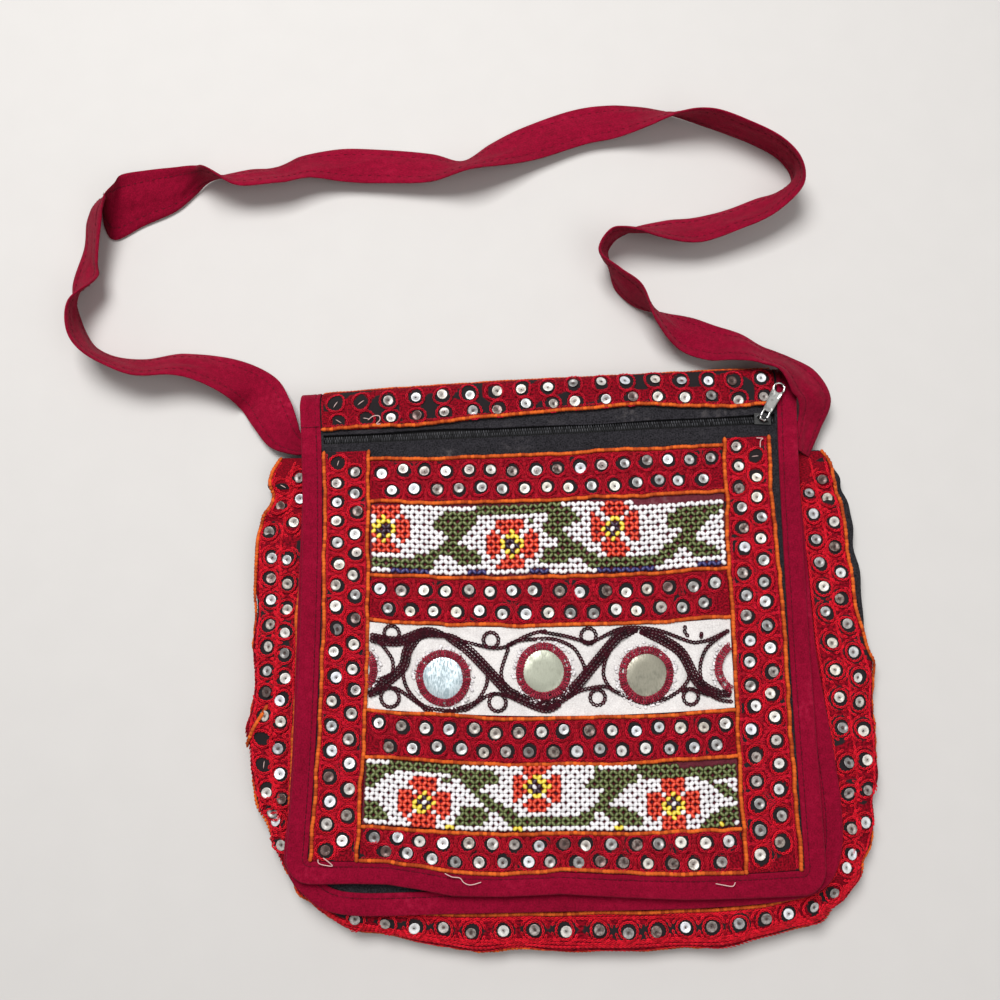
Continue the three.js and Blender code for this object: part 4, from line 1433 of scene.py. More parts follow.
@dataclass
class Band:
    """Embroidered band: dark ground, chain-stitch rings, cup sequins and orange borders."""

    name: str
    surface: Surface
    origin: tuple[float, float]
    length_step: tuple[float, float]
    width_step: tuple[float, float]
    pitch: float
    seed: int
    layout: Lay = Lay.STAGGERED
    rows: tuple[float, float] = (0.31, 0.71)
    start: float = 0.5
    missing: tuple[tuple[int, int], ...] = ()
    height: float = 2.1
    thickness: float = 1.0
    fill: float = 0.85
    ring: float = 5.35
    ring_lobes: tuple[float, float] = (0.22, 0.16)
    borders: tuple[float, float] = (0.03, 0.97)
    spacing_error: float = 0.035
    end_gap: float = 0.35
    grid_step: tuple[float, float] = (1.9, 1.7)
    bare_reach: tuple[float, float] = (3.7, 4.9)
    lean: float = 0.12
    slip: float = 0.6
    thread_share: float = 0.6
    swell: tuple[tuple[float, float], ...] = ((0.0, 1.0), (1.0, 1.0))

    def at(self, run: Array, across: Array) -> Array:
        """Surface coordinates of a place along (0 to 1) and across (0 to 1) the band."""
        run, across = np.broadcast_arrays(np.asarray(run, float), np.asarray(across, float))
        wide = across * np.interp(run, *zip(*self.swell))
        steps = zip(self.origin, self.length_step, self.width_step)
        return np.stack([start + run * long + wide * broad for start, long, broad in steps], -1)

    def sizes(self) -> tuple[float, float]:
        """Length and width in millimetres."""
        middle = self.at(np.linspace(0, 1, 60), np.full(60, 0.5))
        side = self.at(np.full(20, 0.5), np.linspace(0, 1, 20))
        return tuple(line_length(self.surface.point(line[:, 0], line[:, 1])) for line in (middle, side))

    def cells(self) -> list[Cell]:
        """Cells of the band's sequins."""
        length, width = self.sizes()
        count = max(2, int(round(length / self.pitch)))
        rng = np.random.default_rng(self.seed)
        found = []
        for row, across in enumerate(self.rows):
            shift = self.start if row == 0 else self.start + self.layout.value
            for i in range(-1, count + 1):
                run = (i + shift) / count + rng.normal(0, self.spacing_error) / count
                side = across + rng.normal(0, 0.5) / width
                if self.end_gap / count <= run <= 1 - self.end_gap / count:
                    found.append((run, side, (row, i) not in self.missing))
        return found

    def ground(self, maker: Maker, cells: list[Cell]) -> bpy.types.Object:
        """Cloth of the band, with the bare cells marked."""
        length, width = self.sizes()
        run = spread(0, 1, self.grid_step[0] / length)
        across = spread(0, 1, self.grid_step[1] / width)
        grid = self.at(run[:, None], across[None, :])
        noise = Noise(self.seed, 6, 9.0)
        flat = paired(run[:, None] * length, across[None, :] * width)
        levels = (0.12 * noise(flat[..., 0], flat[..., 1]), -self.thickness)
        high, low = (self.surface.point(grid[..., 0], grid[..., 1], self.height + h) for h in levels)
        if self.flipped():
            high, low, flat = (rows[::-1] for rows in (high, low, flat))
        piece = cloth_wall(f"{self.name}_ground", high, low, flat, maker.finishes.ground)
        bare = np.zeros(flat.shape[:2])
        for cell_run, cell_side, _ in cells:
            away = np.hypot(flat[..., 0] - cell_run * length, flat[..., 1] - cell_side * width)
            bare = np.maximum(bare, 1 - smoothstep(away, *self.bare_reach))
        open_ground = Noise(self.seed + 50, 6, 22.0)(flat[..., 0], flat[..., 1])
        bare = np.maximum(bare, smoothstep(open_ground, self.fill * 0.7, self.fill * 0.7 + 0.25))
        carry_values(piece.data, "bare", np.tile(bare.ravel(), 2))
        return piece

    def flipped(self) -> bool:
        """Whether the band's two directions make a left-handed pair on its surface."""
        middle = self.at(np.array([0.5, 0.51, 0.5]), np.array([0.5, 0.5, 0.51]))
        here, ahead, side = self.surface.point(middle[:, 0], middle[:, 1])
        lifted = self.surface.point(middle[:1, 0], middle[:1, 1], 1.0)[0]
        return float(np.dot(np.cross(side - here, ahead - here), lifted - here)) < 0

    def embroider(self, cells: list[Cell], stitches: dict[str, Places]) -> None:
        """Adds this band's rings, fill, borders, sequins and knots to the shared runs of stitches."""
        length, width = self.sizes()
        rng = np.random.default_rng(self.seed + 7)
        turn = np.linspace(0, 2 * np.pi, 49)
        top = self.height + 0.05
        for run, side, there in cells:
            u, v = self.at(run, side)
            per = self.surface.metric(float(u), float(v))
            lobes = rng.uniform(0, 2 * np.pi, 2)
            waves = zip(self.ring_lobes, (2, 3), lobes)
            radius = self.ring + sum(size * np.sin(count * turn + start) for size, count, start in waves)
            line = round_line(u, v, radius, turn, per)
            stitches["rings"].lay(self.surface, line, RING_STEP, top + 0.4, closed=True)
            spot = self.surface.point(u, v, top)
            out = unit(self.surface.point(u, v, top + 1) - spot)
            ahead = unit(self.surface.point(u + 1 / per[0], v, top) - spot)
            if there:
                lean = rng.normal(0, self.lean, 2)
                side_way = np.cross(out, ahead)
                tipped = unit(out + lean[0] * ahead + lean[1] * side_way)
                shift = rng.normal(0, self.slip, 2)
                seat = spot + ahead * shift[0] + side_way * shift[1] + out * 0.5
                spin = rng.uniform(0, 2 * np.pi)
                along = np.cos(spin) * ahead + np.sin(spin) * side_way
                stitches["sequins"].add(seat, along, tipped, rng.uniform(0.94, 1.06))
                knot = seat + tipped * 0.02 + along * 0.2
                stitches["knots"].add(knot, along, tipped, rng.uniform(0.6, 1.1))
            elif rng.uniform() < self.thread_share:
                loose = unit(ahead + rng.normal(0, 0.4, 3))
                stitches["threads"].add(spot + out * 0.3, loose, out, rng.uniform(0.8, 1.3))
        self.lay_fill(stitches["chain"], length, width, cells)
        for across in self.borders:
            self.lay_border(stitches["borders"], rng, across, top)

    def lay_border(self, places: Places, rng: np.random.Generator, across: float, top: float) -> None:
        """Lays one chunky, slightly wavy orange chain along a border."""
        length, width = self.sizes()
        run = np.linspace(0, 1, 240)
        wave, fine = (Noise(int(rng.integers(1000)), 5, size) for size in (46.0, 11.0))
        side = across + (0.7 * wave(run * length, run * 0) + 0.32 * fine(run * length, run * 0)) / width
        places.lay(self.surface, self.at(run, side), BORDER_STEP, top + 0.3)

    def lay_fill(self, places: Places, length: float, width: float, cells: list[Cell]) -> None:
        """Lays red chain beside the borders, between the rows and between neighbours in a row."""
        top = self.height - 0.15
        run = np.linspace(0.004, 0.996, 240)
        wave = Noise(self.seed + 3, 5, 18.0)
        for side in (self.borders[0] + 0.06, self.borders[1] - 0.06):
            line = self.at(run, side + 0.3 * wave(run * length, side) / width)
            places.lay(self.surface, line, CHAIN_STEP, top)
        middle = sum(self.rows) / 2
        if self.layout is Lay.PAIRED:
            return
        weave = 2.1 * np.sin(2 * np.pi * (run * length / self.pitch + 0.25 - self.start)) / width
        places.lay(self.surface, self.at(run, middle + weave), CHAIN_STEP, top)
        for row, edge in zip(self.rows, (0.08, 0.92)):
            runs = sorted(cell[0] for cell in cells if abs(cell[1] - row) < 0.15)
            for a, b in zip(runs, runs[1:]):
                for lean in (-1.0, 1.0):
                    ends = np.linspace(0, 1, 12)
                    line = self.at((a + b) / 2 + lean * 1.1 / length * ends, lerp(edge, middle, ends))
                    places.lay(self.surface, line, CHAIN_STEP, top)


@dataclass
class GussetBand(Band):
    """Band round the gusset: two rows on the sides, one along the bottom, none where it is narrow."""

    zones: tuple[tuple[float, float, float, tuple[float, ...]], ...] = (
        (0.045, 0.335, 14.0, (0.30, 0.66)),
        (0.44, 0.69, 16.6, (0.47,)),
        (0.70, 0.955, 16.0, (0.36, 0.71)),
    )
    chains: tuple[tuple[float, float, tuple[float, ...]], ...] = (
        (0.01, 0.40, (0.09, 0.48, 0.87, 0.955)),
        (0.40, 0.70, (0.09, 0.17, 0.72, 0.79, 0.86, 0.93, 0.985)),
        (0.70, 0.985, (0.06, 0.14, 0.53, 0.88)),
    )
    narrow: float = 10.5
    slim: float = 21.0
    fill_radius: float = 7.3
    pleat: tuple[tuple[float, float], ...] = ((0.230, 0.62), (0.238, 0.70), (0.250, 0.82), (0.262, 0.95))

    def wide(self, share: float) -> float:
        """Width of the band at a share of the seam, in millimetres."""
        return line_length(self.surface.point(np.full(24, share), np.linspace(0, 1, 24)))

    def cells(self) -> list[Cell]:
        """Cells of the band's sequins."""
        rng = np.random.default_rng(self.seed)
        found = []
        for start, end, pitch, rows in self.zones:
            for k, across in enumerate(rows):
                stagger = 0.42 if start < 0.4 else 0.06
                share = start + k * stagger * pitch / self.surface.metric(start, 0.5)[0]
                while share < end:
                    width = self.wide(share)
                    slim = width < self.slim and len(rows) > 1
                    if width > self.narrow and not (slim and k):
                        side = (0.48 if slim else across) + rng.normal(0, 0.6) / width
                        run = (share - self.origin[0]) / self.length_step[0]
                        found.append((run, side, rng.uniform() > 0.04))
                    share += (pitch + rng.normal(0, 0.7)) / self.surface.metric(share, 0.5)[0]
        return found

    def lay_fill(self, places: Places, length: float, width: float, cells: list[Cell]) -> None:
        """Lays rows of red chain along the band, clear of its rows of sequins."""
        wave = Noise(self.seed + 3, 5, 18.0)
        top = self.height - 0.1
        for start, end, sides in self.chains:
            run = np.linspace(start, end, 260)
            for side in sides:
                line = self.at(run, side + 0.018 * wave(run * length, side * 90))
                places.lay(self.surface, line, CHAIN_STEP, top)
        for run, side, _ in cells:
            u, v = self.at(run, side)
            per = self.surface.metric(float(u), float(v))
            for turn in (0.3, 1.9, 3.4, 5.0):
                line = round_line(u, v, self.fill_radius, turn + np.linspace(0, 1.1, 9), per)
                if 0.06 < line[:, 1].min() and line[:, 1].max() < 0.95:
                    places.lay(self.surface, line, CHAIN_STEP, top)


# Across from and to of the pieces between the side bands
MIDDLE = (41.6, 257.8)
# Gap round every piece that is sewn on the flap
SEWN_GAP = 0.15
STITCH_KINDS = ("rings", "chain", "borders", "sequins", "knots", "threads")


def trimmed(span: tuple[float, float]) -> tuple[float, float]:
    """Span less the gap at both ends."""
    return span[0] + SEWN_GAP, span[1] - SEWN_GAP


def flap_band(name: str, a: tuple[float, float], d: tuple[float, float], upright: bool, **facts: Any) -> Band:
    """Band on the flap.

    Args:
        name: CAD node that it stands for.
        a: across from and to.
        d: down from and to.
        upright: true if it runs down the flap.
        facts: other fields of the band.

    Returns:
        The band.
    """
    (a0, a1), (d0, d1) = trimmed(a), trimmed(d)
    steps = ((a1 - a0, 0.0), (0.0, d1 - d0))
    length, width = reversed(steps) if upright else steps
    return Band(name, FLAP, (a0, d0), length, width, **facts)


@dataclass
class Embroidery:
    """All the embroidered bands of the flap and the gusset."""

    left: tuple[float, float] = (13.2, MIDDLE[0])
    right: tuple[float, float] = (MIDDLE[1], 287.4)
    end: float = 294.2

    def flap_bands(self) -> list[Band]:
        """Bands of the flap, as the photo has them."""
        return [
            flap_band(
                "band_top", (13.2, 291.0), (-5.5, 24.2), False, pitch=16.4, seed=11, layout=Lay.PAIRED,
                rows=(0.5, 0.825), fill=0.1, borders=(0.15, 0.975), ring=5.3,
                missing=((0, 0), (1, 0), (0, 1), (1, 1)),
                swell=(
                    (0.0, 1.24), (0.17, 1.24), (0.35, 1.16), (0.53, 1.07),
                    (0.70, 1.04), (0.92, 1.18), (1.0, 1.13),
                ),
            ),
            flap_band("band_1", MIDDLE, (52.0, 82.8), False, pitch=13.1, seed=12, rows=(0.31, 0.70)),
            flap_band("band_2", MIDDLE, (127.5, 157.7), False, pitch=13.1, seed=13, start=0.4),
            flap_band("band_3", MIDDLE, (208.2, 235.3), False, pitch=13.1, seed=14, start=0.6),
            flap_band(
                "band_4", MIDDLE, (271.8, self.end), False, pitch=13.1, seed=15, rows=(0.3, 0.72), ring=4.9,
                missing=((1, 15),),
            ),
            flap_band(
                "band_left", self.left, (46.5, self.end), True, pitch=13.2, seed=16, rows=(0.31, 0.69),
                start=0.55, missing=((0, 0), (0, 18)),
            ),
            flap_band(
                "band_right", self.right, (48.6, self.end), True, pitch=13.2, seed=17, rows=(0.31, 0.69),
                start=0.45, missing=((1, 0),), fill=0.6,
                swell=((0.0, 1.0), (0.15, 1.0), (0.5, 1.13), (1.0, 1.13)),
            ),
        ]

    def gusset_band(self) -> GussetBand:
        """Band round the gusset."""
        return GussetBand(
            "gusset_trim", GUSSET, (0.004, 0.0), (0.992, 0.0), (0.0, 1.0), pitch=12.6, seed=18, height=1.9,
            fill=0.8, ring=5.1, borders=(0.035, 0.97),
        )

    def build(self, maker: Maker) -> None:
        """Makes the grounds and stitches of every band."""
        finishes = maker.finishes
        flap_bands = self.flap_bands()
        groups = (
            ("flap", "flap", flap_bands[:5], (finishes.red, finishes.deep_red)),
            ("flap_side", "flap", flap_bands[5:], (finishes.scarlet, finishes.red)),
            ("gusset", "gusset", [self.gusset_band()], (finishes.scarlet, finishes.scarlet)),
        )
        for group, owner, bands, reds in groups:
            stitches = {kind: Places() for kind in STITCH_KINDS}
            for band in bands:
                cells = band.cells()
                ground = keep_piece(band.ground(maker, cells), "sequin_embroidery", band.name)
                length, width = band.sizes()
                band.embroider(cells, stitches)
                if isinstance(band, GussetBand):
                    stitches["borders"].lay(GUSSET, smooth_line(band.pleat), 2.35, band.height + 0.7)
            self.sew(maker, group, stitches, reds)

    def sew(
        self,
        maker: Maker,
        group: str,
        stitches: dict[str, Places],
        reds: tuple[bpy.types.Material, bpy.types.Material],
    ) -> None:
        """Turns the runs of stitches into pieces.

        Args:
            maker: shared things.
            group: start of the pieces' names.
            stitches: runs of stitches by kind.
            reds: finishes of the rings and of the chain between them.
        """
        looks = {
            "rings": (maker.shapes.link, reds[0], (1.0, 1.0, 1.1)),
            "chain": (maker.shapes.link, reds[1], (1.0, 1.05, 0.8)),
            "borders": (maker.shapes.plump, maker.finishes.orange, (1.35, 1.55, 1.0)),
            "sequins": (maker.shapes.sequin, maker.finishes.sequin, (0.9, 0.9, 0.95)),
            "knots": (maker.shapes.knot, maker.finishes.knot, (1.3, 0.7, 0.8)),
            "threads": (maker.shapes.stitch, maker.finishes.pale, (1.6, 0.9, 0.9)),
        }
        for seed, (kind, (shape, finish, size)) in enumerate(looks.items(), 21):
            if stitches[kind].count():
                piece = maker.repeat.run(f"{group}_{kind}", stitches[kind], shape, finish, size, seed)
                keep_piece(piece, "sequin_embroidery")


# Netted bead panels


def flap_sheet(
    piece: str,
    slot: str,
    node: str,
    finish: bpy.types.Material,
    lines: Array,
    falls: Array,
    levels: tuple[Any, Any],
) -> None:
    """Sheet laid on the flap.

    Args:
        piece: piece name.
        slot: material slot of the record.
        node: CAD node that it replaces.
        finish: material.
        lines: places across the flap.
        falls: places down the flap.
        levels: heights of the upper and the lower face over the flap's middle.
    """
    grid = (lines[None, :], falls[:, None])
    upper, lower = (FLAP.point(*grid, level) for level in levels)
    sheet = keep_piece(cloth_wall(piece, upper, lower, paired(*grid), finish), slot, node)
    flat = ((lines[-1] - lines[0]) * MM, (falls[-1] - falls[0]) * MM)


class Bead(Enum):
    """Bead colours: the glass and the painted highlight along its top."""

    WHITE = (srgb(226, 220, 223), srgb(252, 250, 250))
    RED = (srgb(176, 10, 6), srgb(246, 92, 64))
    YELLOW = (srgb(226, 186, 16), srgb(254, 240, 104))
    GREEN = (srgb(28, 28, 9), srgb(126, 136, 84))
    DARK = (srgb(28, 12, 22), srgb(80, 58, 78))
    BLUE = (srgb(26, 24, 66), srgb(80, 76, 130))


Chart = tuple[tuple[float, float], ...]


def within(shape: Chart, x: float, y: float) -> bool:
    """Whether a place lies inside a charted outline."""
    inside = False
    for (x0, y0), (x1, y1) in zip(shape, (*shape[1:], shape[0])):
        if (y0 > y) != (y1 > y) and x < x0 + (y - y0) / (y1 - y0) * (x1 - x0):
            inside = not inside
    return inside


def patch(c0: float, c1: float, r0: float, r1: float) -> Chart:
    """Straight strip of a chart, from column to column and row to row."""
    return (c0, r0), (c1, r0), (c1, r1), (c0, r1)


@dataclass
class BeadPanel:
    """Right-angle netting of seed beads, with flowers and leaves charted by column and row."""

    name: str
    down: tuple[float, float]
    rows_down: tuple[float, float]
    columns: int
    rows: int
    flowers: Chart
    leaves: tuple[Chart, ...]
    bare: tuple[Chart, ...]
    marks: tuple[tuple[float, float], ...]
    mark: Bead
    seed: int
    columns_across: tuple[float, float] = (44.2, 255.2)
    height: float = 2.1
    pitch: float = 2.89
    slip: float = 0.14
    bead_size: tuple[float, float, float] = (1.64, 1.2, 1.1)

    def colour(self, column: float, row: float) -> Optional[Bead]:
        """Bead at a place in the net, or none where the net is bare."""
        if any(within(shape, column, row) for shape in self.bare):
            return None
        for centre_column, centre_row in self.flowers:
            x, y = abs(column - centre_column), abs(row - centre_row)
            near, far = sorted((x, y))
            for reach, bead in ((0.6, Bead.WHITE), (1.7, Bead.DARK), (2.9, Bead.YELLOW)):
                if x + y < reach:
                    return bead
            if far <= 5.2 and near <= (2.95 if far < 4.8 else 2.2):
                return Bead.WHITE if far - near < 0.7 else Bead.RED
        if row > self.rows - 1.6 and any(a <= column <= b for a, b in self.marks):
            return self.mark
        return Bead.GREEN if any(within(shape, column, row) for shape in self.leaves) else Bead.WHITE

    def net(self, maker: Maker) -> None:
        """Backing net of the beads."""
        lines, falls = (spread(*trimmed(span), 3.0) for span in (MIDDLE, self.down))
        levels = (self.height - 0.5, self.height - 1.0)
        flap_sheet(f"{self.name}_net", "seed_beads", self.name, maker.finishes.net, lines, falls, levels)

    def beads(self, maker: Maker) -> None:
        """Beads of the net, each with its own colour, slant and size."""
        a0, a1 = self.columns_across
        d0, d1 = self.rows_down
        rng = np.random.default_rng(self.seed)
        wave = Noise(self.seed, 5, 60.0)
        column, row = (grid.ravel() for grid in np.meshgrid(np.arange(self.columns), np.arange(self.rows)))
        beads = [self.colour(float(c), float(r)) for c, r in zip(column, row)]
        there = np.array([bead is not None for bead in beads])
        column, row = column[there], row[there]
        beads = [bead for bead in beads if bead is not None]
        count = len(beads)
        across = lerp(a0, a1, column / (self.columns - 1)) + rng.normal(0, self.slip, count)
        down = lerp(d0, d1, row / (self.rows - 1)) + rng.normal(0, self.slip, count)
        down = down + 0.5 * wave(across, down * 0.3)
        at = FLAP.point(across, down, self.height + 0.55 + rng.normal(0, 0.08, count))
        seat = FLAP.point(across, down, self.height)
        out = unit(FLAP.point(across, down, self.height + 2) - seat)
        right = unit(FLAP.point(across + 1, down, self.height) - seat)
        slant = np.where((column + row) % 2 == 0, 1.0, -1.0)[:, None]
        lean = rng.normal(0, 0.12, (count, 1))
        places = Places()
        along = unit(right + (slant + lean) * np.cross(out, right))
        places.add(at, along, out, rng.uniform(0.94, 1.06, count))
        shade = rng.uniform(0.8, 1.0, (count, 1))
        # paint is each bead's glass colour and edge its painted highlight colour
        paint = {
            key: np.concatenate([np.array([bead.value[k] for bead in beads]) * shade, np.ones((count, 1))], 1)
            for k, key in enumerate(("paint", "edge"))
        }
        fit = (a1 - a0) / (self.columns - 1) / self.pitch
        look = (maker.shapes.bead, maker.finishes.bead, tuple(part * fit for part in self.bead_size))
        piece = maker.repeat.run(f"{self.name}_beads", places, *look, self.seed, paint)
        keep_piece(piece, "seed_beads")

    def build(self, maker: Maker) -> None:
        """Makes the backing net and the beads."""
        self.net(maker)
        self.beads(maker)


def bead_panels() -> list[BeadPanel]:
    """Both netted panels of the flap, charted."""
    upper = (
        ((-0.5, 11.5), (10.5, 10.9), (12.5, 12), (12.5, 13.7), (-0.5, 13.7)),
        ((10.5, 11), (13.5, 9), (15.5, 7), (16.5, 5.5), (22.5, 3), (21, 5), (18, 7.5), (15.3, 10),
         (13.5, 11), (12.5, 12.5)),
        ((15, 1.2), (22.5, 1), (22.8, 2.2), (20.5, 4.5), (18.5, 6.5), (15.5, 6.2), (12.5, 5.3), (13, 3.4),
         (15, 2)),
        patch(22, 40, 0.7, 2.4), patch(32.4, 33.6, 4, 5),
        ((15.5, 8.2), (18, 8.2), (20.5, 9.2), (23, 11.5), (22, 12.3), (19, 12.6), (17, 11.8), (15.5, 10.5)),
        ((36, 1), (41, 1.2), (42.5, 3), (43.8, 4.5), (42, 5), (38.5, 5.2), (36.5, 4.8)),
        ((35.5, 4.5), (38.5, 5.2), (40.2, 6.5), (42.2, 8.2), (45, 10.5), (47, 11.2), (46.5, 13),
         (44, 12.8), (43, 11), (41, 9.5), (39.5, 8.4), (37, 7), (35.5, 5.5)),
        ((36, 9.8), (40, 8.4), (43, 10.2), (43.5, 11.2), (41, 11.4), (39.2, 13), (36, 13), (34, 12.4)),
        patch(45, 61, 11.2, 13.4),
        ((62, 4), (64, 2.9), (69, 2.4), (73, 2.2), (73.2, 3.6), (71, 5), (68.5, 7), (66.5, 8.6),
         (64.5, 10.5), (62, 12.2), (60, 13), (59, 11.3), (61, 10), (63.5, 8.2), (65, 7), (63.5, 6.6),
         (60.3, 5.8)),
        ((65, 9.3), (67, 8.8), (69, 9.6), (71.5, 10.6), (73, 12), (73, 13), (69, 13), (66.5, 12),
         (65.3, 10.8)),
    )
    lower = (
        ((-0.5, 1), (3.5, 0.8), (5, 0.3), (5.2, 2), (3, 3.8), (-0.5, 6)),
        ((-0.5, 8.2), (2, 8.2), (4.5, 10.5), (5, 12), (-0.5, 12.2)),
        patch(5, 18, -0.2, 2),
        ((17, -0.2), (26, 0.4), (27.8, 2.4), (28, 3.3), (25, 4), (22, 4.2), (20.3, 3.8), (18, 2)),
        patch(15.2, 17.5, 2.6, 3.6),
        ((20.3, 3.8), (23, 4.2), (25, 5.8), (27.5, 7.5), (30.5, 8.6), (31.5, 10.2), (33, 10.4), (38, 10.2),
         (44, 10.5), (47, 12.3), (46, 12.8), (30, 12.9), (29.5, 11.5), (27.8, 10), (25.5, 8.9), (23.5, 7.2),
         (22, 5.8)),
        ((20, 8.8), (23, 8.3), (25.5, 9.2), (25.3, 11), (24, 12.8), (18.5, 12.6), (18.3, 11.2)),
        ((44, 10.6), (46.5, 9), (48.2, 7.2), (49.3, 5.4), (51, 4.4), (54, 4), (55, 3), (57.2, 1.6),
         (56, 3.2), (53.5, 5.2), (51.5, 7.4), (50, 8.6), (48, 10), (46.3, 12.4)),
        ((46, 3.4), (47.5, 1.6), (47.5, -0.2), (52, 0.6), (57.5, -0.2), (57, 1.8), (54.5, 4.2), (50, 4.8),
         (46, 4.2)),
        ((50, 9), (52, 8.6), (54.5, 9), (56.8, 10.5), (57.8, 12), (53, 12.2), (51.5, 11.6), (50, 10.4)),
        ((57, -0.2), (66, -0.2), (78, 1), (78, 4), (75, 4), (70, 3.4), (69, 2.4), (66, 2.2), (58, 2)),
        ((71, 3.8), (75.2, 4.4), (76.3, 5.8), (77.8, 6.4), (77.8, 8.6), (75.5, 7.6), (73.3, 6)),
        ((72.5, 10.5), (75, 9.2), (77.8, 9.4), (77.8, 11.5), (76.5, 13.2), (70, 13), (70.5, 11.8)),
    )
    return [
        BeadPanel(
            "bead_panel_upper", (80.9, 127.5), (82.5, 125.3), columns=74, rows=15,
            flowers=((2.2, 5.6), (28.9, 8.6), (50.2, 5.8)), leaves=upper,
            bare=(patch(-1, 56, -1, 0.5), patch(55, 75, -1, 1.4)),
            marks=((4, 11), (20, 23), (33, 36), (47, 58), (68, 72)), mark=Bead.BLUE, seed=31,
        ),
        BeadPanel(
            "bead_panel_lower", (235.3, 271.8), (236.9, 269.6), columns=78, rows=14,
            flowers=((11.9, 8.2), (35.3, 4.1), (64.0, 8.2)), leaves=lower,
            bare=(patch(66, 79, -1, 0.5),),
            marks=((17, 18), (31, 32), (52, 53), (74, 74)), mark=Bead.YELLOW, seed=32,
        ),
    ]


# White panel with mirrors

# Chain-stitch scrolls: rows of chain, then across and down of each point
SCROLLS: tuple[tuple[int, Chart], ...] = (
    (3, ((41.5, 166), (46.5, 167.5), (59.5, 168), (75, 162), (88, 163.5))),
    (3, ((86, 163), (93, 166), (104, 174), (123, 193), (128.5, 196.5), (146, 203.5), (155, 201.5))),
    (1, ((41.5, 166.5), (47.5, 169), (55, 177.5), (56.5, 183), (56, 188))),
    (3, ((42, 200.5), (47, 197), (61.5, 184), (64.5, 174), (67.5, 169), (71, 164.5), (76, 162.5),
         (83, 163))),
    (1, ((42, 194.5), (56.5, 187))),
    (1, ((62, 184.5), (63.5, 191.5), (66.5, 197), (71.5, 202), (77, 205), (84, 206), (91.5, 206),
         (104.5, 201.5), (109, 197), (112, 191), (112.5, 186))),
    (1, ((75, 206), (83, 207.5), (100.5, 205.5))),
    (1, ((42, 200), (48, 197), (55, 195.5), (61, 196.5), (77, 206.5))),
    (1, ((100.5, 205.5), (112, 197.5), (119, 196), (130.5, 198.5))),
    (1, ((94, 165.5), (119, 170), (134, 163.5), (141, 161), (147.5, 160))),
    (1, ((124, 168.5), (131, 165.5), (143.5, 164.5))),
    (1, ((125, 170), (121, 181.5), (121, 187), (122.5, 191))),
    (1, ((144, 160.5), (158.5, 163), (170.5, 166.5), (175, 166.5), (187.5, 161), (193.5, 159.5),
         (201.5, 159.5), (215, 162), (233, 169.5), (239, 170), (245, 169), (257, 164.5))),
    (1, ((143.5, 164.5), (150.5, 164.5), (157.5, 166.5), (163.5, 170), (167, 175), (169.5, 180.5),
         (169.5, 184.5))),
    (3, ((143.5, 200), (151, 198), (158, 195.5), (164, 192), (188, 166), (194, 162.5), (201.5, 161))),
    (1, ((143.5, 203), (151, 202.5), (165, 195), (171.5, 193), (180.5, 192), (185.5, 193.5))),
    (1, ((186, 170.5), (182.5, 176.5), (181, 182), (181, 186.5), (183.5, 191.5), (187.5, 195), (200, 201),
         (208, 202.5), (215.5, 201), (221.5, 198.5), (226.5, 195.5), (230.5, 191), (231.5, 187))),
    (3, ((203, 162), (211, 164.5), (217, 167.5), (227.5, 175.5), (235, 190), (239.5, 195), (245.5, 198.5),
         (260, 201.5))),
    (1, ((236.5, 195), (243.5, 200), (250, 203.5), (259, 205))),
    (1, ((226.5, 197), (231.5, 196), (242.5, 200))),
    (1, ((257, 164.5), (249, 169), (242.5, 174), (239, 180.5), (238, 186.5), (239, 192.5),
         (241.5, 196.5))),
    (1, ((230.5, 160), (230, 163.5), (232, 166.5))),
    (1, ((240, 165), (239.5, 167.5))),
)
# Small round scrolls: across, down and radius
SCROLL_EYES: tuple[tuple[float, float, float], ...] = (
    (55.1, 200.9, 5.4), (118.5, 200.8, 4.9), (55.2, 163.7, 4.5), (114.6, 165.4, 4.5),
    (177.1, 198.1, 4.4), (231.9, 200.2, 4.4), (172.4, 163.3, 4.5),
)


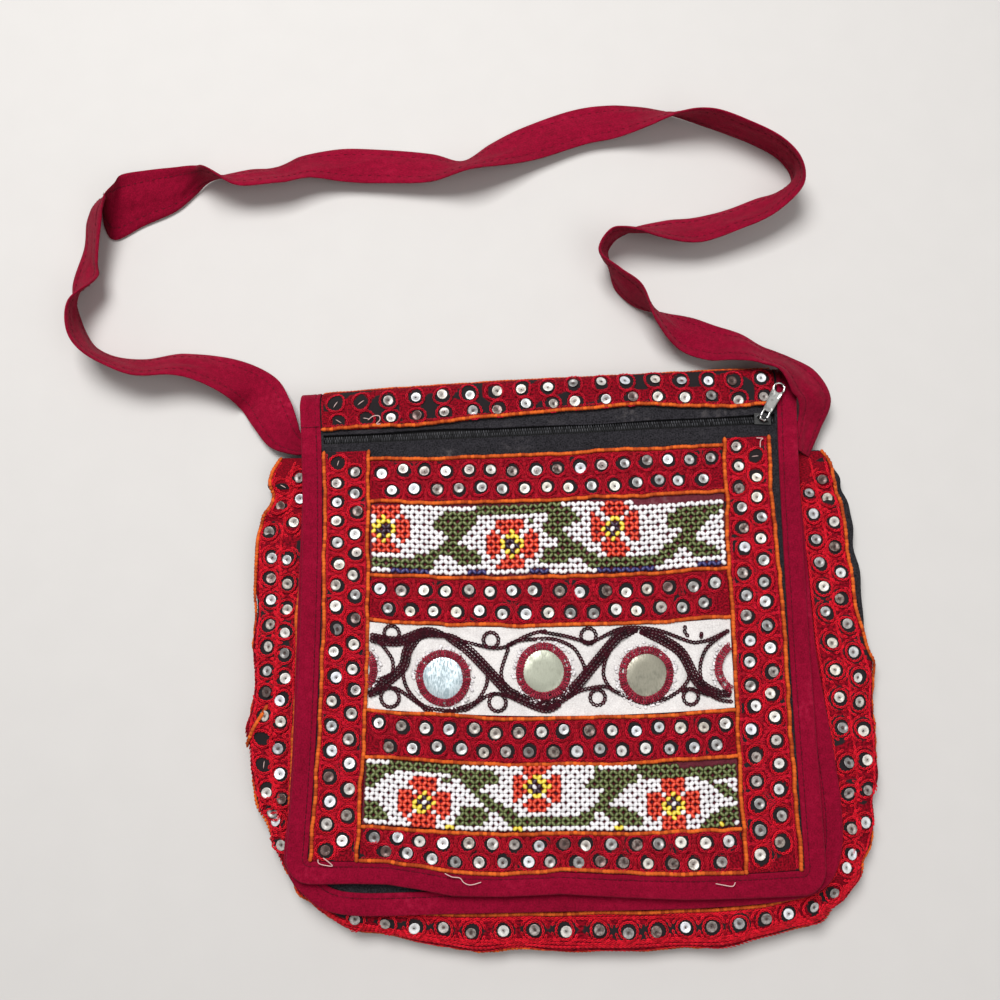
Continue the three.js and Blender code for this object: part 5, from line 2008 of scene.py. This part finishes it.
@dataclass
class MirrorPanel:
    """White cotton panel with round mirrors, rose rings and maroon chain-stitch scrolls."""

    across: tuple[float, float] = MIDDLE
    down: tuple[float, float] = (157.7, 208.2)
    height: float = 2.1
    radius: float = 12.25
    mirrors: tuple[tuple[str, float, float], ...] = (
        ("mirror_1", 86.5, 188.0), ("mirror_2", 145.5, 183.0), ("mirror_3", 206.0, 186.5),
    )
    part_rings: tuple[tuple[float, float], ...] = ((31.0, 185.6), (263.0, 186.0))
    section: tuple[tuple[float, float], ...] = (
        (0.0, 1.78), (0.5, 1.8), (0.94, 1.8), (1.0, 1.55), (1.0, 0.75), (0.94, 0.65), (0.0, 0.65),
    )
    sides: int = 40
    ring_rows: tuple[tuple[float, float], ...] = ((12.7, 1.75), (15.4, 0.45))
    ring_step: float = 1.9
    spoke_radius: float = 14.0
    spoke_turn: float = 1.35 / 14.3
    knots: int = 80
    knot_reach: tuple[float, float] = (16.2, 18.6)
    row_gap: float = 2.0

    def cotton(self, maker: Maker) -> None:
        """White cloth, rumpled between the stitches."""
        lines, falls = (spread(*trimmed(span), 1.9) for span in (self.across, self.down))
        rumple = 0.75 * Noise(41, 8, 16.0)(lines[None, :], falls[:, None]) - 0.45
        edge = np.minimum(falls - falls[0], falls[-1] - falls)
        rumple = rumple * smoothstep(edge, 0, 6)[:, None]
        for _, a, d in self.mirrors:
            away = np.hypot(lines[None, :] - a, falls[:, None] - d)
            rumple = rumple * smoothstep(away, 14, 20)
        levels = (self.height + rumple, self.height - 1.0)
        look = ("white_cotton", "mirror_panel", maker.finishes.white)
        flap_sheet("mirror_panel_cotton", *look, lines, falls, levels)

    def glass(self, maker: Maker) -> None:
        """Mirrors, each with a ground edge."""
        turn = round_turn(self.sides)
        faces = turned_faces(len(self.section) - 2, self.sides)
        for (name, a, d), look in zip(self.mirrors, maker.finishes.mirrors):
            points = []
            for share, high in self.section:
                line = round_line(a, d, self.radius * share, -turn if share else turn[:1])
                points.append(FLAP.point(line[:, 0], line[:, 1], self.height + high))
            piece = mesh_object(f"{name}_glass", np.concatenate(points), faces, look, sharp=35)
            keep_piece(piece, "mirror_glass", name)

    def rings(self, maker: Maker) -> None:
        """Rose buttonhole rings that hold the mirrors: spokes, an outer chain and white knots."""
        spokes, chain, dots = Places(), Places(), Places()
        rng = np.random.default_rng(42)
        for a, d in [(a, d) for _, a, d in self.mirrors] + list(self.part_rings):
            turn = np.linspace(0, 2 * np.pi, 97)
            corner = 0.1 * np.cos(6 * turn + rng.uniform(0, 6)) + 0.2 * np.cos(3 * turn + rng.uniform(0, 6))
            for radius, high in self.ring_rows:
                for part in self.inside(round_line(a, d, radius + corner, turn)):
                    chain.lay(FLAP, part, self.ring_step, self.height + high)
            for angle in np.arange(0, 2 * np.pi, self.spoke_turn):
                angle = angle + rng.normal(0, 0.012)
                radii = self.spoke_radius + 0.35 * rng.normal() + np.array([-1.7, 0.0, 1.7])
                line = round_line(a, d, radii, angle)
                if len(self.inside(np.repeat(line, 2, 0))) == 1 and rng.uniform() > 0.06:
                    ends = FLAP.point(line[:, 0], line[:, 1], self.height + np.array([1.95, 1.35, 0.35]))
                    high, low = (FLAP.point(*line[1], level) for level in (5.0, 4.0))
                    spokes.add(ends[1], unit(ends[2] - ends[0]), unit(high - low), rng.uniform(0.9, 1.1))
            for _ in range(self.knots):
                angle, r = rng.uniform(0, 2 * np.pi), rng.uniform(*self.knot_reach)
                x, y = round_line(a, d, r, angle)
                if self.across[0] + 2 < x < self.across[1] - 2 and self.down[0] + 3 < y < self.down[1] - 3:
                    at = FLAP.point(x, y, self.height + 0.3)
                    out = unit(FLAP.point(x, y, self.height + 1.3) - at)
                    dots.add(at, unit(np.cross(out, [0.3, 1.0, 0.0])), out, rng.uniform(0.7, 1.1))
        for name, places, shape, finish, size in (
            ("mirror_spokes", spokes, maker.shapes.stitch, maker.finishes.rose, (1.65, 2.3, 2.0)),
            ("mirror_rings", chain, maker.shapes.link, maker.finishes.rose, (0.9, 1.15, 1.0)),
            ("mirror_knots", dots, maker.shapes.knot, maker.finishes.white_thread, (1.8, 1.5, 1.3)),
        ):
            keep_piece(maker.repeat.run(name, places, shape, finish, size, 43), "white_cotton")

    def inside(self, line: Array) -> list[Array]:
        """Stretches of a line that lie on the panel."""
        held = (line[:, 0] > self.across[0] + 0.8) & (line[:, 0] < self.across[1] - 0.8)
        held &= (line[:, 1] > self.down[0] + 0.8) & (line[:, 1] < self.down[1] - 0.8)
        if held.all():
            return [line]
        parts, start = [], None
        for i, here in enumerate([*held, False]):
            if here and start is None:
                start = i
            if not here and start is not None:
                if i - start > 3:
                    parts.append(line[start:i])
                start = None
        return parts

    def scroll_lines(self) -> list[tuple[Array, int]]:
        """Scrolls round the mirrors, as lines on the flap with how many rows each has."""
        lines = [(smooth_line(points, 8), rows) for rows, points in SCROLLS]
        turn = np.linspace(0, 2 * np.pi, 33)
        lines += [(round_line(a, d, r, turn), 1) for a, d, r in SCROLL_EYES]
        return lines

    def scrolls(self, maker: Maker) -> None:
        """Maroon chain-stitch scrolls."""
        places = Places()
        for line, rows in self.scroll_lines():
            run = np.gradient(line, axis=0)
            side = unit(np.stack([-run[:, 1], run[:, 0]], -1))
            share = np.linspace(0, 1, len(line))
            part = self.row_gap * smoothstep(share, -0.05, 0.2) * smoothstep(1 - share, -0.05, 0.2)
            for row in range(rows):
                offset = (row - (rows - 1) / 2) * part
                for stretch in self.inside(line + side * offset[:, None]):
                    places.lay(FLAP, stretch, 2.1, self.height + 0.25 + 0.1 * row)
        look = (maker.shapes.tight, maker.finishes.maroon, (1.0, 1.28, 1.0))
        keep_piece(maker.repeat.run("mirror_panel_scrolls", places, *look, 45), "white_cotton")

    def build(self, maker: Maker) -> None:
        """Makes the panel, its mirrors and its stitches."""
        self.cotton(maker)
        self.glass(maker)
        self.rings(maker)
        self.scrolls(maker)


# Flap with its zip

# Slit of the zip pocket: across from and to, and down
SLIT = (14.0, 291.0)
SLIT_DOWN = 37.5


@dataclass
class Flap:
    """Charcoal flap with the slit of the zip pocket, and its crimson binding."""

    inset: float = 2.0
    corner: float = 14.0
    slit_width: float = 6.4
    lip: float = 5.0
    middle_from: float = 56.0
    join: float = 52.0

    def cloth(self, maker: Maker) -> None:
        """Cloth of the flap, with soft lips along the slit."""
        lips = (SLIT_DOWN - self.slit_width / 2, SLIT_DOWN + self.slit_width / 2)
        lines = np.unique(np.concatenate([spread(self.inset, FLAP.width - self.inset, 4.2), SLIT]))
        above, below = lips[0] - self.lip, lips[1] + self.lip
        stretches = (
            (-FLAP.arc - FLAP.back, -FLAP.arc, 6.0),
            (-FLAP.arc, FLAP.arc, 1.6),
            (FLAP.arc, above, 2.4),
            (above, lips[0], 0.8),
            (lips[1], below, 0.8),
            (below, self.middle_from, 2.0),
            (self.middle_from, FLAP.length - self.inset, 4.4),
        )
        falls = np.unique(np.concatenate([spread(*stretch) for stretch in stretches]))
        down = ((falls[:-1] + falls[1:]) / 2)[:, None]
        across = ((lines[:-1] + lines[1:]) / 2)[None, :]
        keep = ~((down > lips[0]) & (down < lips[1]) & (across > SLIT[0]) & (across < SLIT[1]))
        off_side = np.maximum(self.corner - across, across - FLAP.width + self.corner)
        off_foot = down - FLAP.length + self.corner
        radius = self.corner - self.inset
        keep &= ~((off_side > 0) & (off_foot > 0) & (np.hypot(off_side, off_foot) > radius))
        wave = Noise(51, 6, 42.0)
        upper_lip = np.exp(-((falls - lips[0]) / 2.2) ** 2) * (falls <= lips[0] + 0.01)
        lower_lip = np.exp(-((falls - lips[1]) / 2.2) ** 2) * (falls >= lips[1] - 0.01)
        ripple = 1 + 0.5 * wave(lines, lines * 0)[None, :]
        puff = 0.7 * upper_lip[:, None] * ripple + 0.45 * lower_lip[:, None]
        shift = upper_lip[:, None] * 0.9 * wave(lines + 90, lines * 0)[None, :]
        levels = (FLAP.cloth / 2 + puff, puff * 0.6 - FLAP.cloth / 2)
        upper, lower = (FLAP.point(lines[None, :], falls[:, None] + shift, level) for level in levels)
        flat = paired(lines[None, :], falls[:, None])
        piece = cloth_wall("flap_cloth", upper, lower, flat, maker.finishes.charcoal, keep)
        keep_piece(piece, "charcoal_cotton", "flap")
        size = (FLAP.width * MM, (FLAP.length + FLAP.arc + FLAP.back) * MM)

    @property
    def edge(self) -> BoundEdge:
        """Free edge of the flap, from the back seam round to the back seam."""
        return BoundEdge(FLAP.width, FLAP.length - self.corner + FLAP.arc + FLAP.back, self.corner)

    def at(self, station: Array, inward: Array, height: Array) -> Array:
        """Place at a distance in from the bound edge."""
        across, down = self.edge.at(station, inward)
        return FLAP.point(across, down - FLAP.arc - FLAP.back, height)

    def binding(self, maker: Maker) -> None:
        """Crimson binding of the flap."""
        total = self.edge.total
        stations = np.concatenate([np.arange(0, total, 1.8), [total]])
        Binding("flap_binding", "flap", FLAP.cloth, self.at, stations, 52, join=self.join).build(maker)

    def build(self, maker: Maker) -> None:
        """Makes the flap."""
        self.cloth(maker)
        self.binding(maker)


@dataclass
class Pull:
    """Metal pull of the zip, on the hinge's own axes: across, towards its tip and out."""

    hinge: tuple[float, float, float] = (127.1746, 133.7851, 23.2770)
    sideways: tuple[float, float, float] = (0.8708626, -0.4914916, -0.0058667)
    tipwards: tuple[float, float, float] = (0.4913866, 0.8708374, -0.0134690)
    length: float = 25.5
    ring: float = 3.9
    hole: float = 2.75
    root: float = 2.8
    shoulder: float = 3.5
    start: float = 4.6
    thick: float = 1.2

    def place(self, local: Array) -> Array:
        """Places in the frame of places on the hinge's axes."""
        across, along = np.array(self.sideways), np.array(self.tipwards)
        axes = np.stack([across, along, np.cross(across, along)])
        return np.array(self.hinge) + np.asarray(local, float) @ axes

    def plate(self) -> tuple[Array, list[list[int]]]:
        """Tapered plate with a raised rim and a bare sunk panel, cut round at the ring."""
        rows, wide = 15, np.array([-1, -0.86, -0.78, -0.4, 0, 0.4, 0.78, 0.86, 1])
        centre = self.length - self.ring
        share = np.linspace(0, 1, rows)[:, None]
        half = lerp(self.root, self.shoulder, smoothstep(share, 0.0, 0.85))
        x = half * wide[None, :]
        end = centre - np.sqrt(np.maximum((self.hole + 0.5) ** 2 - x ** 2, 0.2))
        y = lerp(self.start + 0.6 * wide[None, :] ** 2, end, share)
        sunk = (np.abs(wide) < 0.8)[None, :] & (share > 0.1) & (share < 0.86)
        rim = np.where(np.abs(wide) > 0.99, -0.22, 0.12)[None, :] + 0 * share
        z = self.thick / 2 + np.where(sunk, -0.1, rim)
        points = np.concatenate([np.stack([x, y, level], -1).reshape(-1, 3) for level in (z, -z * 0.85)])
        return points, wall_faces(rows, len(wide))[:, ::-1].tolist()

    def build(self, maker: Maker) -> None:
        """Makes the plate, its ring, its two arms and its eye as one piece."""
        turn = round_turn(28)
        mid, bar = (self.ring + self.hole) / 2, (self.ring - self.hole) / 2
        loop = np.stack([mid * np.cos(turn), self.length - self.ring + mid * np.sin(turn), 0 * turn], -1)
        rounds = [tube_mesh("pull_ring", loop, bar * 1.05, 8, closed=True)]
        for side in (-1.0, 1.0):
            bends = ((1.9, self.start + 0.9, 0.0), (2.1, 2.6, 0.1), (1.95, 0.9, 0.0), (1.5, -1.25, 0.0))
            arm = smooth_line([(side * x, y, z) for x, y, z in bends], 5)
            rounds.append(tube_mesh("pull_arm", arm, 0.58, 8))
        eye = np.stack([np.linspace(-1.7, 1.7, 5), np.full(5, -1.45), np.zeros(5)], -1)
        rounds.append(tube_mesh("pull_eye", eye, 0.62, 8))
        points, faces = joined(rounds, *self.plate())
        piece = mesh_object("zip_pull_metal", self.place(points), faces, maker.finishes.metal, sharp=40)
        keep_piece(piece, "zip_metal", "zip_pull", body=PULL_BODY)


@dataclass
class LooseThreads:
    """Short pale thread ends that have worked loose on the flap."""

    height: float = 4.0
    runs: tuple[Chart, ...] = (
        ((18.8, 293.1), (19.5, 295.0), (22.8, 296.2), (27.1, 296.6), (24.3, 293.8), (21.8, 292.1)),
        ((90.2, 294.9), (94.1, 296.1), (98.6, 296.7), (101.0, 299.0), (104.9, 300.0), (110.5, 298.6)),
        ((241.4, 298.2), (246.4, 299.3), (250.8, 299.7), (252.6, 298.0)),
        ((41.8, 25.7), (44.9, 23.1), (48.5, 23.3), (49.1, 26.2), (46.8, 28.6), (49.3, 28.8)),
        ((278.6, 49.9), (282.2, 50.6), (281.1, 52.0), (280.7, 56.3)),
    )

    def build(self, maker: Maker) -> None:
        """Makes the thread ends as one piece."""
        threads = []
        for i, run in enumerate(self.runs):
            line = smooth_line(run, 6)
            lift = self.height + 0.5 * np.sin(np.linspace(0, 9, len(line)) + i)
            threads.append(tube_mesh("thread_end", FLAP.point(line[:, 0], line[:, 1], lift), 0.28, 5))
        points, faces = joined(threads)
        keep_piece(mesh_object("loose_threads", points, faces, maker.finishes.pale), "white_cotton")


@dataclass
class Zip:
    """Zip of the flap pocket: tape, coil, slider and pull."""

    tape: float = 16.0
    rib: float = 1.6
    coil_low: float = -0.7
    coil_side: float = 0.95
    coil_pitch: float = 1.5

    def build(self, maker: Maker) -> None:
        """Makes the tape, the coil and the pull, and dresses the slider."""
        lines = spread(*SLIT, 4.0)
        falls = spread(SLIT_DOWN - self.tape / 2, SLIT_DOWN + self.tape / 2, 0.8)
        rib = 0.08 * np.cos((falls - SLIT_DOWN) * 2 * np.pi / self.rib)[:, None]
        look = ("zip_black", "zip_tape", maker.finishes.nylon)
        flap_sheet("zip_tape_cloth", *look, lines, falls, (rib - 1.15, -1.8))
        teeth = Places()
        for side in (-1.0, 1.0):
            across = np.arange(SLIT[0] + 0.8 + side * 0.3, SLIT[1] - 1.2, self.coil_pitch)
            down = np.full(len(across), SLIT_DOWN + side * self.coil_side)
            steps = ((0, 0), (1, 0), (0, 1))
            teeth.stand(*(FLAP.point(across + ahead, down, self.coil_low + over) for ahead, over in steps))
        look = (maker.shapes.tooth, maker.finishes.coil, (0.95, 1.2, 1.6))
        coil = maker.repeat.run("zip_coil_teeth", teeth, *look, 61)
        keep_piece(coil, "zip_black", "zip_coil")
        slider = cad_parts["zip_slider"]
        slider.data.materials.clear()
        slider.data.materials.append(maker.finishes.slider)
        Pull().build(maker)


# Body of the bag


@dataclass
class Body:
    """Back, front, gusset and their bindings."""

    cloth: float = 1.2
    inset: float = 2.0
    back_left: float = -152.0
    back_right: float = 150.0
    back_bottom: float = -146.0
    back_radius: float = 30.0
    back_top: float = FLAP.back_seam_y - 0.3
    edge_lift: float = 1.5
    bound_lift: float = 1.3
    lifted: float = 20.0
    lift_run: float = 36.0
    bottom_rows: tuple[int, int] = (10, 13)

    @property
    def faces(self) -> tuple[float, float]:
        """Heights of the cloth's two faces about its middle."""
        return self.cloth / 2, -self.cloth / 2

    def gusset(self, maker: Maker) -> None:
        """Charcoal strip that joins front and back."""
        rows, columns = 231, 27
        shares, angles = np.linspace(0, 1, rows), np.linspace(-90, 90, columns)
        upper, lower = (GUSSET.at_angle(shares[:, None], angles[None, :], face) for face in self.faces)
        run, side = distances(upper[:, columns // 2]), distances(upper[rows // 2])
        flat = paired(run[:, None], side[None, :])
        piece = cloth_wall("gusset_cloth", upper, lower, flat, maker.finishes.charcoal)
        keep_piece(piece, "charcoal_cotton", "gusset")

    def front(self, maker: Maker) -> None:
        """Charcoal front under the flap, and its bound seam."""
        rows, columns = 61, 41
        left_end, right_end = (row / (len(SEAM_TABLE) - 1) for row in self.bottom_rows)
        v = np.linspace(0, 1, rows)
        u = np.linspace(0, 1, columns)
        left = GUSSET.seam(v * left_end, -self.inset)
        right = GUSSET.seam(1 - v * (1 - right_end), -self.inset)
        bottom = GUSSET.seam(lerp(left_end, right_end, u), -self.inset)
        foot = lerp(bottom[0][None], bottom[-1][None], u[:, None])
        across = lerp(left[:, None], right[:, None], u[None, :, None])
        plan = across + v[:, None, None] * (bottom - foot)[None]
        level = GUSSET.front_height(plan[..., 0], plan[..., 1])
        upper, lower = (np.concatenate([plan, (level + face)[..., None]], -1) for face in self.faces)
        piece = cloth_wall("front_cloth", upper, lower, plan, maker.finishes.charcoal)
        keep_piece(piece, "charcoal_cotton", "front_panel")

        def seam_place(station: Array, inward: Array, height: Array) -> Array:
            """Place at a distance in from the front seam's edge."""
            plan_place = GUSSET.seam(station, -np.asarray(inward))
            z = GUSSET.front_height(plan_place[..., 0], plan_place[..., 1]) + height
            return np.concatenate([plan_place, z[..., None]], -1)

        stations = np.linspace(0, 1, 430)
        Binding("front_binding", "front_panel", self.cloth, seam_place, stations, 71).build(maker)

    @property
    def back_edge(self) -> BoundEdge:
        """Bound edge of the back, from the flap's seam round to the flap's seam."""
        side = self.back_top - self.back_bottom - self.back_radius
        return BoundEdge(self.back_right - self.back_left, side, self.back_radius)

    def back_place(self, station: Array, inward: Array, height: Array) -> Array:
        """Place at a distance in from the back seam's edge; stations are millimetres along it."""
        across, down = self.back_edge.at(station, inward)
        level = self.cloth / 2 + self.bound_lift + height
        return np.stack([self.back_left + across, self.back_top - down, level], -1)

    def back(self, maker: Maker) -> None:
        """Charcoal back that the bag lies on, and its bound seam."""
        edge, radius = self.back_edge, self.back_radius
        rows = np.concatenate([spread(0, edge.side, 8.0)[:-1], spread(edge.side, edge.half, 3.0)])
        left = self.back_place(rows, np.full(len(rows), self.inset), np.zeros(len(rows)))
        centre = (self.back_left + self.back_right) / 2
        u = spread(0, 1, 1 / 48)
        x = lerp(left[:, :1], 2 * centre - left[:, :1], u[None, :])
        y = np.broadcast_to(left[:, 1:2], x.shape)
        side = np.minimum(x - self.back_left, self.back_right - x)
        corner_x, corner_y = np.maximum(radius - side, 0), np.maximum(self.back_bottom + radius - y, 0)
        rounded = radius - np.hypot(corner_x, corner_y)
        straight = np.minimum(side, y - self.back_bottom)
        inside = np.where((corner_x > 0) & (corner_y > 0), rounded, straight)
        inside = np.minimum(inside, FLAP.back_seam_y - y + self.lifted)
        lift = self.edge_lift * (1 - smoothstep(inside, self.lifted, self.lift_run))
        upper, lower = (np.stack([x, y, self.cloth / 2 + lift + face], -1) for face in self.faces)
        piece = cloth_wall("back_cloth", upper, lower, np.stack([x, y], -1), maker.finishes.charcoal)
        keep_piece(piece, "charcoal_cotton", "back_panel")
        stations = np.linspace(0, edge.total, 300)
        binding = Binding("back_binding", "back_panel", self.cloth, self.back_place, stations, 72, pucker=0.0)
        binding.build(maker)

    def build(self, maker: Maker) -> None:
        """Makes the body."""
        self.gusset(maker)
        self.front(maker)
        self.back(maker)


# Strap: x, y of its middle, height of its lower edge, turn about its own run, width
STRAP_TABLE = np.array([
    (-153, 118.5, 8, -4, 10), (-161, 120.5, 7, -7, 14), (-169.5, 127, 5.5, -12, 24), (-178, 141, 3, -12, 29),
    (-187, 154.5, 1, 0, 30), (-199, 162.5, 0.3, 24, 30), (-217, 169, 0.3, 38, 30), (-238, 172, 0.3, 46, 30),
    (-262, 170, 0.3, 56, 30), (-285, 176, 0.3, 70, 30), (-299, 188, 0.3, 82, 30), (-304, 207, 0.3, 99, 30),
    (-301, 227, 0.3, 140, 30), (-298.5, 246, 0.3, 143, 30), (-224, 300.5, 0.3, 105, 30),
    (-203, 300, 0.3, 136, 30), (-181, 302, 0.3, 137, 30),
    (-163, 309, 0.3, 146, 30), (-140, 312, 0.3, 162, 30), (-112, 311, 0.3, 162, 30), (-80, 309, 0.3, 154, 30),
    (-57, 308, 0.3, 130, 30), (-36, 318, 0.3, 148, 30), (-14, 328, 0.3, 164, 30), (17, 340, 0.3, 169, 30),
    (41, 344, 0.3, 164, 30), (64, 345, 0.3, 142, 30), (84, 344, 0.3, 116, 30), (106, 340, 0.3, 100, 30),
    (133, 329, 0.3, 98, 30), (151, 317, 0.3, 100, 30), (159.5, 303, 0.3, 94, 30), (154.5, 290, 0.3, 66, 30),
    (140, 281, 0.3, 46, 30), (118, 271, 0.3, 42, 30), (95, 264, 0.3, 36, 30), (74, 263, 0.3, 42, 30),
    (52, 262, 0.3, 64, 30), (37, 255, 0.3, 92, 30), (33, 242, 0.3, 110, 30), (41, 228, 0.3, 88, 30),
    (54, 216, 0.3, 86, 30), (68, 203, 0.3, 125, 30), (84, 194, 0.3, 155, 30), (101, 188, 0.3, 160, 30),
    (116, 184, 1.5, 146, 30), (129, 176, 6, 130, 30), (141, 169.5, 10.5, 130, 30),
    (153.5, 158.5, 12.5, 152, 30), (161, 147, 11, 155, 26), (158, 132, 9, 155, 18),
    (151.5, 114.5, 9, 156, 14),
], float)

# The strap's folded corner, put in before the row of that number: both edges of each row, the upper first
CORNER_ROW = 14
CORNER = np.array([
    (-288, 263, 24, -307, 273, 1), (-287, 271, 27, -303, 284, 1), (-285, 280, 28, -298, 289, 1),
    (-281, 289, 25, -295, 270, 1), (-278, 297, 21, -287, 261, 1), (-262, 303, 16, -269, 271, 1),
    (-245, 305, 16, -249, 281, 1), (-232, 304, 20, -236, 293, 1),
], float)


@dataclass
class Strap:
    """Shoulder strap of folded crimson cotton, laid out above the bag."""

    half_width: float = 15.0
    thickness: float = 2.0
    steps: int = 520
    columns: tuple[float, ...] = (0.14, 0.28, 0.4, 0.54, 0.62, 0.7, 0.86, 0.96, 1.0)
    lines: tuple[float, float] = (-0.62, 0.62)
    dent: float = 0.34
    dent_width: float = 0.05
    edge_from: float = 0.86
    floor: float = 0.05
    wrinkle: float = 1.1
    fine_wrinkle: float = 0.5
    pleat: float = 0.7
    stitch_step: float = 4.0

    def __post_init__(self) -> None:
        """Finds both edges of the strap at every row."""
        turn, width = np.radians(STRAP_TABLE[:, 3]), STRAP_TABLE[:, 4]
        rows = np.linspace(0, 1, len(STRAP_TABLE))
        step = 0.002
        run = unit((catmull(STRAP_TABLE, rows + step) - catmull(STRAP_TABLE, rows - step))[:, :2])
        lift = np.abs(np.sin(turn)) * width / 2 + np.abs(np.cos(turn)) * self.thickness / 2
        middle = np.stack([STRAP_TABLE[:, 0], STRAP_TABLE[:, 1], STRAP_TABLE[:, 2] + lift], -1)
        lean = np.stack([-run[:, 1] * np.cos(turn), run[:, 0] * np.cos(turn), np.sin(turn)], -1)
        side = lean * (width / 2)[:, None]
        edges = np.concatenate([middle + side, middle - side], 1)
        self.edges = np.insert(edges, CORNER_ROW, CORNER, axis=0)

    def point(self, share: Array, across: Array, height: Any = 0.0) -> Array:
        """Place on the strap: share along it, across from -1 to 1, height out of its middle."""
        share, across = np.broadcast_arrays(np.asarray(share, float), np.asarray(across, float))
        here, ahead, behind = (catmull(self.edges, share + step) for step in (0.0, 0.0024, -0.0024))
        side = unit(here[..., :3] - here[..., 3:])
        run = (ahead - behind)[..., :3] + (ahead - behind)[..., 3:]
        out = unit(np.cross(run, side))
        place = lerp(here[..., 3:], here[..., :3], ((across + 1) / 2)[..., None])
        return place + out * np.asarray(height)[..., None]

    def relief(self, share: Array, across: Array, length: float) -> Array:
        """Soft wrinkles, fine wrinkles in places and a wandering pleat.

        Args:
            share: share along the strap.
            across: place across it, from -1 to 1.
            length: length of the strap.

        Returns:
            Height out of the strap's plain middle.
        """
        run = share * length
        soft, crisp = Noise(81, 8, 34.0), Noise(83, 7, 11.0)
        fine = crisp(run * 0.6, across * self.half_width) * smoothstep(soft(run + 300, across * 8), 0.0, 0.6)
        fold = across - 0.5 * Noise(85, 5, 90.0)(run, across * 0)
        pleated = smoothstep(soft(run - 200, across * 0), -0.2, 0.4)
        pleat = self.pleat * np.exp(-((fold / 0.1) ** 2)) * pleated
        wrinkles = self.wrinkle * soft(run, across * 22) + self.fine_wrinkle * fine
        return (wrinkles - pleat) * (1 - 0.6 * across ** 2)

    def cloth(self, maker: Maker, length: float) -> bpy.types.Object:
        """Folded cloth with round edges, pressed in along its stitches."""
        share = np.linspace(0, 1, self.steps)
        across = np.concatenate([-np.array(self.columns[::-1]), [0.0], self.columns])
        grid = (share[:, None], across[None, :])
        relief = self.relief(*grid, length)
        past = np.clip((np.abs(across) - self.edge_from) / (1 - self.edge_from), 0, 1)
        round_edge = np.sqrt(np.clip(1 - past ** 2, 0.08, 1))
        dent = self.dent * sum(np.exp(-(((across - line) / self.dent_width) ** 2)) for line in self.lines)
        half = self.thickness / 2 * round_edge - dent
        upper, lower = (self.point(*grid, relief + h[None, :]) for h in (half, -half))
        for leaf in (upper, lower):
            leaf[..., 2] = np.maximum(leaf[..., 2], self.floor)
        flat = paired(share[:, None] * length, across[None, :] * self.half_width)
        leaves = (rows[:, ::-1] for rows in (upper, lower, flat))
        piece = cloth_wall("strap_cloth", *leaves, maker.finishes.crimson)
        return keep_piece(piece, "crimson_cotton", "strap")

    def build(self, maker: Maker) -> None:
        """Makes the strap and its stitches."""
        length = line_length(self.point(np.linspace(0, 1, self.steps), np.zeros(self.steps)))
        piece = self.cloth(maker, length)
        stitches = Places()
        for line in self.lines:
            for face in (1.0, -1.0):
                want = np.arange(self.stitch_step, length - self.stitch_step, self.stitch_step) / length
                side = np.full(len(want), line)
                high = self.relief(want, side, length) + face * (self.thickness / 2 - 0.25)
                at = self.point(want, side, high)
                at[:, 2] = np.maximum(at[:, 2], 0.3)
                ahead = self.point(want + 0.6 / length, side, high)
                stitches.stand(at, ahead, self.point(want, side, high + face))
        look = (maker.shapes.stitch, maker.finishes.stitch)
        sewn = maker.repeat.run("strap_stitches", stitches, *look, seed=82)
        keep_piece(sewn, "crimson_cotton")


# Stage


@dataclass(frozen=True)
class Stage:
    """Pale floor, soft studio light and the photo's viewpoint."""

    camera_at: tuple[float, float, float] = (-0.03413, -0.03253, 0.6145)
    camera_lean: float = 11.0
    lens: float = 36.0
    floor_colour: Colour = srgb(206, 203, 200)
    floor_reach: float = 3.0
    floor_z: float = -0.0004
    look_at: tuple[float, float, float] = (0.0, 0.05, 0.0)

    def floor(self) -> None:
        """Plain pale floor."""
        mesh = bpy.data.meshes.new("floor")
        corners = ((-1, -1), (1, -1), (1, 1), (-1, 1))
        points = [(x * self.floor_reach, y * self.floor_reach, self.floor_z) for x, y in corners]
        mesh.from_pydata(points, [], [(0, 1, 2, 3)])
        shader = Shader("pale_floor")
        grain = shader.noise(shader.place(), 40.0, 4.0)
        colour = shader.mix(grain, tuple(0.96 * c for c in self.floor_colour), self.floor_colour)
        mesh.materials.append(shader.finish(Base_Color=colour, Roughness=0.9))
        linked("floor", mesh)

    def light(self, name: str, at: tuple[float, float, float], size: float, power: float) -> None:
        """Soft square lamp that looks at the bag."""
        lamp = bpy.data.lights.new(name, "AREA")
        lamp.size = size
        lamp.energy = power
        piece = linked(name, lamp)
        piece.location = at
        piece.rotation_euler = (Vector(self.look_at) - Vector(at)).to_track_quat("-Z", "Y").to_euler()

    def build(self) -> None:
        """Makes the stage."""
        scene = bpy.context.scene
        camera = bpy.data.cameras.new("camera")
        camera.lens = self.lens
        camera.sensor_width = 36.0
        piece = linked("camera", camera)
        piece.location = self.camera_at
        piece.rotation_euler = (math.radians(self.camera_lean), 0.0, 0.0)
        scene.camera = piece
        world = bpy.data.worlds.new("studio")
        world.use_nodes = True
        sky = world.node_tree.nodes["Background"].inputs
        sky["Color"].default_value = (1.0, 0.99, 0.98, 1.0)
        sky["Strength"].default_value = 0.24
        scene.world = world
        scene.view_settings.view_transform = "Standard"
        self.floor()
        self.light("key", (-0.35, 0.75, 1.5), 0.8, 30.0)
        self.light("fill", (0.8, -0.6, 1.4), 1.2, 8.0)


def main() -> None:
    """Builds the stage and every sub-assembly in order."""
    logging.basicConfig(level=logging.INFO, format="%(name)s %(message)s")
    Stage().build()
    maker = Maker()
    sewn_on = (Embroidery(), *bead_panels(), MirrorPanel(), LooseThreads())
    for assembly in (Strap(), Body(), Flap(), Zip(), *sewn_on):
        assembly.build(maker)


if __name__ == "__main__":
    main()
